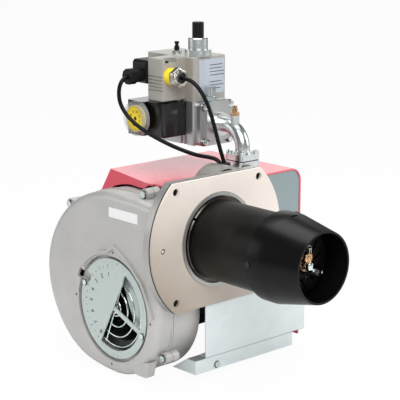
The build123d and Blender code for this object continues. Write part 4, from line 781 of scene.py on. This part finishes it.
class BURNER_OT_damper_scale(bpy.types.Operator):
    """Digits and marks printed on the damper disc"""
    bl_idname = "burner.damper_scale"
    bl_label = "Damper scale"

    def execute(self, context):
        scale = context.scene.burner_scale
        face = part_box("air_damper")[0][0] - PRINT_GAP
        centre = Vector((face, FAN_AXIS.y, FAN_AXIS.z))
        digits = []
        marks = []
        for index in range(scale.digits):
            angle = scale.first_angle + scale.digit_step * index
            digits.append(printed(str(index + 1), scale.digit_height,
                                  radial(centre, angle, scale.digit_radius)))
            for part, length in ((0, DAMPER_MARK_LONG), (0.5, DAMPER_MARK_SHORT)):
                place = radial(centre, angle + scale.digit_step * part,
                               DAMPER_MARKS_R + length / 2)
                marks.append(rounded_plate(DAMPER_MARK_W, length, PRINT_T, DAMPER_MARK_ROUND,
                                           place))
        joined(digits, "damper_digits", "ink", "damper")
        joined(marks, "damper_marks", "ink", "damper")
        return {"FINISHED"}


LABEL_T = 0.00025
LABEL_ROUND = 0.0012
LABEL_GAP = 0.0002              # the labels' backs in front of the surface they are on
CASING_BULGE = 0.0035           # the casing's flat face, in from its leftmost point
CASING_LABEL_AT = (0.0890, 0.0345)      # its Y and Z
CASING_LABEL_SIZE = (0.064, 0.0145)
VALVE_LABEL_IN = 0.029          # the label's middle, in from the housing's right side
VALVE_LABEL_UP = 0.035          # and up from its foot
VALVE_LABEL_SIZE = (0.050, 0.052)
RULE_LENGTHS = (0.0, 0.026, 0.026, 0.030, 0.030, 0.0, 0.024, 0.028, 0.022)
RULE_LEFT = -0.004              # where the rules start, from the label's middle
RULE_TOP = 0.0215
RULE_PITCH = 0.005
RULE_W = 0.0012
RULE_ROUND = 0.0003
RULE_PROUD = 0.00003


class BURNER_OT_labels(bpy.types.Operator):
    """A bare white label on the fan casing and a ruled pale one on the valve"""
    bl_idname = "burner.labels"
    bl_label = "Labels"

    def execute(self, context):
        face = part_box("housing_cover")[0][0] + CASING_BULGE
        place = facing(Vector((face - LABEL_GAP, *CASING_LABEL_AT)), (0, -1, 0), (0, 0, 1))
        plate = rounded_plate(*CASING_LABEL_SIZE, LABEL_T, LABEL_ROUND, place)
        finished(plate, "casing_label", "sticker", "burner")
        low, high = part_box("valve_housing")
        middle = Vector((high[0] - VALVE_LABEL_IN, low[1] - LABEL_GAP, low[2] + VALVE_LABEL_UP))
        plate = rounded_plate(*VALVE_LABEL_SIZE, LABEL_T, LABEL_ROUND,
                              facing(middle, (1, 0, 0), (0, 0, 1)))
        finished(plate, "valve_label", "label", "burner")
        bars = []
        for row, length in enumerate(RULE_LENGTHS):
            if length:
                spot = middle + Vector((RULE_LEFT + length / 2, -RULE_PROUD,
                                        RULE_TOP - RULE_PITCH * row))
                bars.append(rounded_plate(length, RULE_W, LABEL_T, RULE_ROUND,
                                          facing(spot, (1, 0, 0), (0, 0, 1))))
        joined(bars, "valve_label_rules", "ink", "burner")
        return {"FINISHED"}


# Each drum of the gland: sides, radius, length, its middle behind the nut's front, chamfer.
GLAND_FLATS = (6, 0.0152, 0.0090, 0.0093, 0.0009)
GLAND_NECK = (48, 0.0122, 0.0052, 0.0026, 0.0010)
GLAND_THROAT = (48, 0.0078, 0.0080, 0.0030, 0.0)
GLAND_SEAL = (48, 0.0079, 0.0030, 0.0030, 0.0006)


class BURNER_OT_gland(bpy.types.Operator):
    """Chamfered hexagon nut of the cable gland, with its collar and black seal"""
    bl_idname = "burner.gland"
    bl_label = "Cable gland"

    def execute(self, context):
        low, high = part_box("gland_nut")
        middle = Vector(((low[0] + high[0]) / 2, low[1], (low[2] + high[2]) / 2))
        flats = self.turned(GLAND_FLATS, middle)
        neck = self.turned(GLAND_NECK, middle)
        throat = self.turned(GLAND_THROAT, middle)
        apply_modifier(neck, "BOOLEAN", "throat", operation="DIFFERENCE", object=throat)
        bpy.data.objects.remove(throat)
        nut = joined([flats, neck], "gland_hexagon", "nickel", "burner", 30)
        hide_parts("gland_nut")
        finished(self.turned(GLAND_SEAL, middle), "gland_seal", "rubber", "burner")
        return {"FINISHED"}

    def turned(self, shape, front):
        sides, radius, length, back, chamfer = shape
        return drum(sides, radius, length, front + Vector((0, back, 0)), 1, chamfer)


NOZZLE_GAP = 0.0048             # from the nozzle's face to the middle of the fittings
# Each drum: sides, radius, length, X, distance in front of that middle, Z, axis, chamfer.
BRASS_FITTINGS = ((32, 0.0074, 0.0030, -0.0006, 0.0, 0.0085, 1, 0.0009),
                  (24, 0.0032, 0.0052, -0.0014, 0.0, 0.0085, 1, 0.0008),
                  (12, 0.0006, 0.0110, 0.0044, 0.0, 0.0175, 2, 0.0))
STEEL_FITTINGS = ((32, 0.0062, 0.0105, 0.0006, 0.0, -0.0030, 2, 0.0016),
                  (24, 0.0026, 0.0070, 0.0040, 0.0030, -0.0085, 1, 0.0012),
                  (12, 0.0005, 0.0080, 0.0070, 0.0030, -0.0085, 0, 0.0),
                  (12, 0.0006, 0.0070, 0.0010, 0.0, 0.0180, 2, 0.0))
CURL_R = 0.0024
CURL_WIRE_R = 0.0006
CURL_AT = (0.0010, 0.0230)      # its X and Z
CURL_TURN = (radians(75), 0, radians(-30))


class BURNER_OT_igniter(bpy.types.Operator):
    """Small fittings in front of the nozzle: brass cap, clip, curled wire and pin"""
    bl_idname = "burner.igniter"
    bl_label = "Igniter fittings"

    def execute(self, context):
        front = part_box("gas_nozzle")[0][1] - NOZZLE_GAP
        joined(self.drums(BRASS_FITTINGS, front), "igniter_cap", "brass", "burner", 50)
        steel = self.drums(STEEL_FITTINGS, front)
        bpy.ops.object.select_all(action="DESELECT")
        bpy.ops.mesh.primitive_torus_add(major_radius=CURL_R, minor_radius=CURL_WIRE_R,
                                         major_segments=32, minor_segments=10,
                                         rotation=CURL_TURN,
                                         location=(CURL_AT[0], front, CURL_AT[1]))
        steel.append(bpy.context.object)
        joined(steel, "igniter_clip", "zinc", "burner", 50)
        return {"FINISHED"}

    def drums(self, shapes, front):
        return [drum(sides, radius, length, (x, front - ahead, z), axis, chamfer)
                for sides, radius, length, x, ahead, z, axis, chamfer in shapes]


GAP_SHADOW_PROUD = 0.0006             # past the gasket's rim, all round
GAP_SHADOW_CUT = 0.0003               # and past its flat top and foot
GAP_SHADOW_INSET = 0.0010             # from the gasket's rear face
GAP_SHADOW_W = 0.0009
GAP_SHADOW_HOLE = 0.6                 # inner edge of the shadow ring, as a share of its radius


class BURNER_OT_gasket_seam(bpy.types.Operator):
    """A dark ring that paints the shadow in the gap between the gasket board and the flange"""
    bl_idname = "burner.gasket_seam"
    bl_label = "Gasket gap shadow"

    def execute(self, context):
        # painted shadow: a thin dark ring in the gap behind the gasket's rim
        low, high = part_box("flange_gasket")
        radius = (high[0] - low[0]) / 2 + GAP_SHADOW_PROUD
        bpy.ops.object.select_all(action="DESELECT")
        bpy.ops.mesh.primitive_circle_add(vertices=256, radius=radius,
                                          rotation=(radians(90), 0, 0),
                                          location=(0, high[1] - GAP_SHADOW_INSET, 0))
        ring = bpy.context.object
        settle(ring)
        bpy.ops.object.mode_set(mode="EDIT")
        bpy.ops.mesh.select_all(action="SELECT")
        bpy.ops.mesh.extrude_edges_move()
        bpy.ops.transform.resize(value=(GAP_SHADOW_HOLE, 1, GAP_SHADOW_HOLE), center_override=(0, 0, 0))
        bpy.ops.mesh.select_all(action="SELECT")
        bpy.ops.mesh.extrude_region_move(TRANSFORM_OT_translate={"value": (0, GAP_SHADOW_W, 0)})
        for height, side in ((high[2] + GAP_SHADOW_CUT, 1), (low[2] - GAP_SHADOW_CUT, -1)):
            bpy.ops.mesh.select_all(action="SELECT")
            bpy.ops.mesh.bisect(plane_co=(0, 0, height), plane_no=(0, 0, side), use_fill=True,
                                clear_outer=True)
        bpy.ops.mesh.select_all(action="SELECT")
        bpy.ops.mesh.normals_make_consistent(inside=False)
        bpy.ops.object.mode_set(mode="OBJECT")
        finished(ring, "gasket_seam", "shadow", "burner")
        return {"FINISHED"}


DIAL_MARKS = 24
DIAL_MARKS_R = 0.0188           # from the dial's axis to the outer ends of the marks
DIAL_MARK_LONG = 0.0045         # every third mark
DIAL_MARK_SHORT = 0.003
DIAL_MARK_W = 0.0006
DIAL_MARK_ROUND = 0.0001
DIAL_NUMBERS = (3, 5, 10, 15, 20, 30, 40, 50)
DIAL_NUMBERS_R = 0.0108
DIAL_NUMBER_SIZE = 0.0058
DIAL_FIRST = radians(200)
DIAL_STEP = radians(-45)


class BURNER_OT_dial(bpy.types.Operator):
    """Marks and plain numbers on the pressure switch's yellow dial"""
    bl_idname = "burner.dial"
    bl_label = "Switch dial"

    def execute(self, context):
        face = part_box("switch_dial")[0][0] - PRINT_GAP
        centre = Vector((face, DIAL_AXIS.y, DIAL_AXIS.z))
        marks = []
        for index in range(DIAL_MARKS):
            length = DIAL_MARK_SHORT if index % 3 else DIAL_MARK_LONG
            place = radial(centre, radians(360 / DIAL_MARKS * index), DIAL_MARKS_R - length / 2)
            marks.append(rounded_plate(DIAL_MARK_W, length, PRINT_T, DIAL_MARK_ROUND, place))
        for index, number in enumerate(DIAL_NUMBERS):
            angle = DIAL_FIRST + DIAL_STEP * index
            ray = Vector((0, cos(angle), sin(angle)))
            place = facing(centre + ray * DIAL_NUMBERS_R, (0, -1, 0), (0, 0, 1))
            marks.append(printed(str(number), DIAL_NUMBER_SIZE, place))
        joined(marks, "dial_marks", "dial ink", "dial")
        return {"FINISHED"}


# Node, axis and side that the heads face, piece, body, height of the heads.
DRESSED_SCREWS = (("housing_screws", 0, -1, "casing_screw_heads", "burner", 0.0022),
                  ("damper_screws", 0, -1, "damper_screw_heads", "damper", 0.0014),
                  ("outlet_screws", 1, -1, "outlet_screw_heads", "burner", 0.0022),
                  ("hood_screws", 0, 1, "hood_screw_heads", "cover_hood", 0.0018),
                  ("bracket_screw", 1, -1, "bracket_screw_head", "burner", 0.0016))


class BURNER_OT_screws(bpy.types.Operator):
    """Pan heads with cross recesses on the screws that show"""
    bl_idname = "burner.screws"
    bl_label = "Screw heads"

    def execute(self, context):
        for node, axis, sign, name, body, height in DRESSED_SCREWS:
            dress_screws(node, axis, sign, name, "zinc", body, height)
        return {"FINISHED"}


# Routes of the two cables, in millimetres, from the gland to the grommet.
PLUG_ROUTE = [(-12, 175, 215), (-22.5, 175, 215), (-30, 176, 209.5), (-34, 177, 200),
              (-34.5, 177.3, 188), (-33, 176, 176), (-29.5, 170, 163.5), (-24, 160.5, 151.5),
              (-16.5, 146, 140), (-7, 128, 129.5), (2, 112, 121.5), (12, 94.5, 114),
              (24, 72.5, 107), (34, 55.5, 105.3), (41, 45.2, 102.5), (44.5, 40, 94)]
VALVE_ROUTE = [(20, 107, 217), (20, 97, 217), (24, 86, 215.5), (29.5, 76.5, 207), (34, 69.5, 195),
               (37.7, 64, 182), (40.8, 60, 167.5), (43.3, 56.2, 152), (45.3, 53, 137.5),
               (47.5, 49.7, 122), (49.7, 46.2, 108), (51.5, 43, 97), (52.5, 41.5, 90)]
PLUG_LEAD_LENGTH = 0.2365
VALVE_LEAD_LENGTH = 0.1600


class BURNER_OT_cables(bpy.types.Operator):
    """The two cables, each one smooth curve from its gland to the grommet"""
    bl_idname = "burner.cables"
    bl_label = "Cables"

    def execute(self, context):
        cable = context.scene.burner_cable
        self.lay("plug_lead", PLUG_ROUTE, PLUG_LEAD_LENGTH, "plug_cable", cable)
        self.lay("valve_lead", VALVE_ROUTE, VALVE_LEAD_LENGTH, "valve_cable", cable)
        return {"FINISHED"}

    def lay(self, name, route, length, node, cable):
        curve = bpy.data.curves.new(name, "CURVE")
        curve.dimensions = "3D"
        curve.bevel_depth = cable.diameter / 2
        curve.bevel_resolution = cable.facets
        curve.resolution_u = 16
        curve.use_fill_caps = True
        spline = curve.splines.new("NURBS")
        spline.points.add(len(route) - 1)
        for point, place in zip(spline.points, route):
            point.co = (place[0] * MM, place[1] * MM, place[2] * MM, 1)
        spline.order_u = 3
        spline.use_endpoint_u = True
        spline.use_smooth = True
        lead = bpy.data.objects.new(name, curve)
        bpy.context.scene.collection.objects.link(lead)
        coat_with(lead, "sheath")
        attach(lead, "burner")
        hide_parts(node)


class BURNER_PT_panel(bpy.types.Panel):
    """Lists the burner's settings and the steps that dress it"""
    bl_idname = "BURNER_PT_panel"
    bl_label = "Gas burner"
    bl_space_type = "VIEW_3D"
    bl_region_type = "UI"
    bl_category = "Burner"

    def draw(self, context):
        scene = context.scene
        for settings in (scene.burner_look, scene.burner_scale, scene.burner_cable,
                         scene.burner_stage):
            box = self.layout.box()
            for key in settings.bl_rna.properties.keys():
                if key not in {"rna_type", "name"}:
                    box.prop(settings, key)
        for step in STEPS:
            self.layout.operator(step.bl_idname)


STEPS = (BURNER_OT_stage, BURNER_OT_finishes, BURNER_OT_cables, BURNER_OT_damper_scale,
         BURNER_OT_labels, BURNER_OT_gasket_seam, BURNER_OT_gland, BURNER_OT_igniter,
         BURNER_OT_dial, BURNER_OT_screws)
SETTINGS = {"burner_look": BurnerLook, "burner_scale": ScaleSettings,
            "burner_cable": CableSettings, "burner_stage": StageSettings}


def register():
    for name, group in SETTINGS.items():
        bpy.utils.register_class(group)
        setattr(bpy.types.Scene, name, PointerProperty(type=group))
    for step in STEPS:
        bpy.utils.register_class(step)
    bpy.utils.register_class(BURNER_PT_panel)


def unregister():
    bpy.utils.unregister_class(BURNER_PT_panel)
    for step in reversed(STEPS):
        bpy.utils.unregister_class(step)
    for name, group in SETTINGS.items():
        delattr(bpy.types.Scene, name)
        bpy.utils.unregister_class(group)


def main():
    register()
    for step in STEPS:
        family, verb = step.bl_idname.split(".")
        getattr(getattr(bpy.ops, family), verb)()


if __name__ == "__main__":
    main()
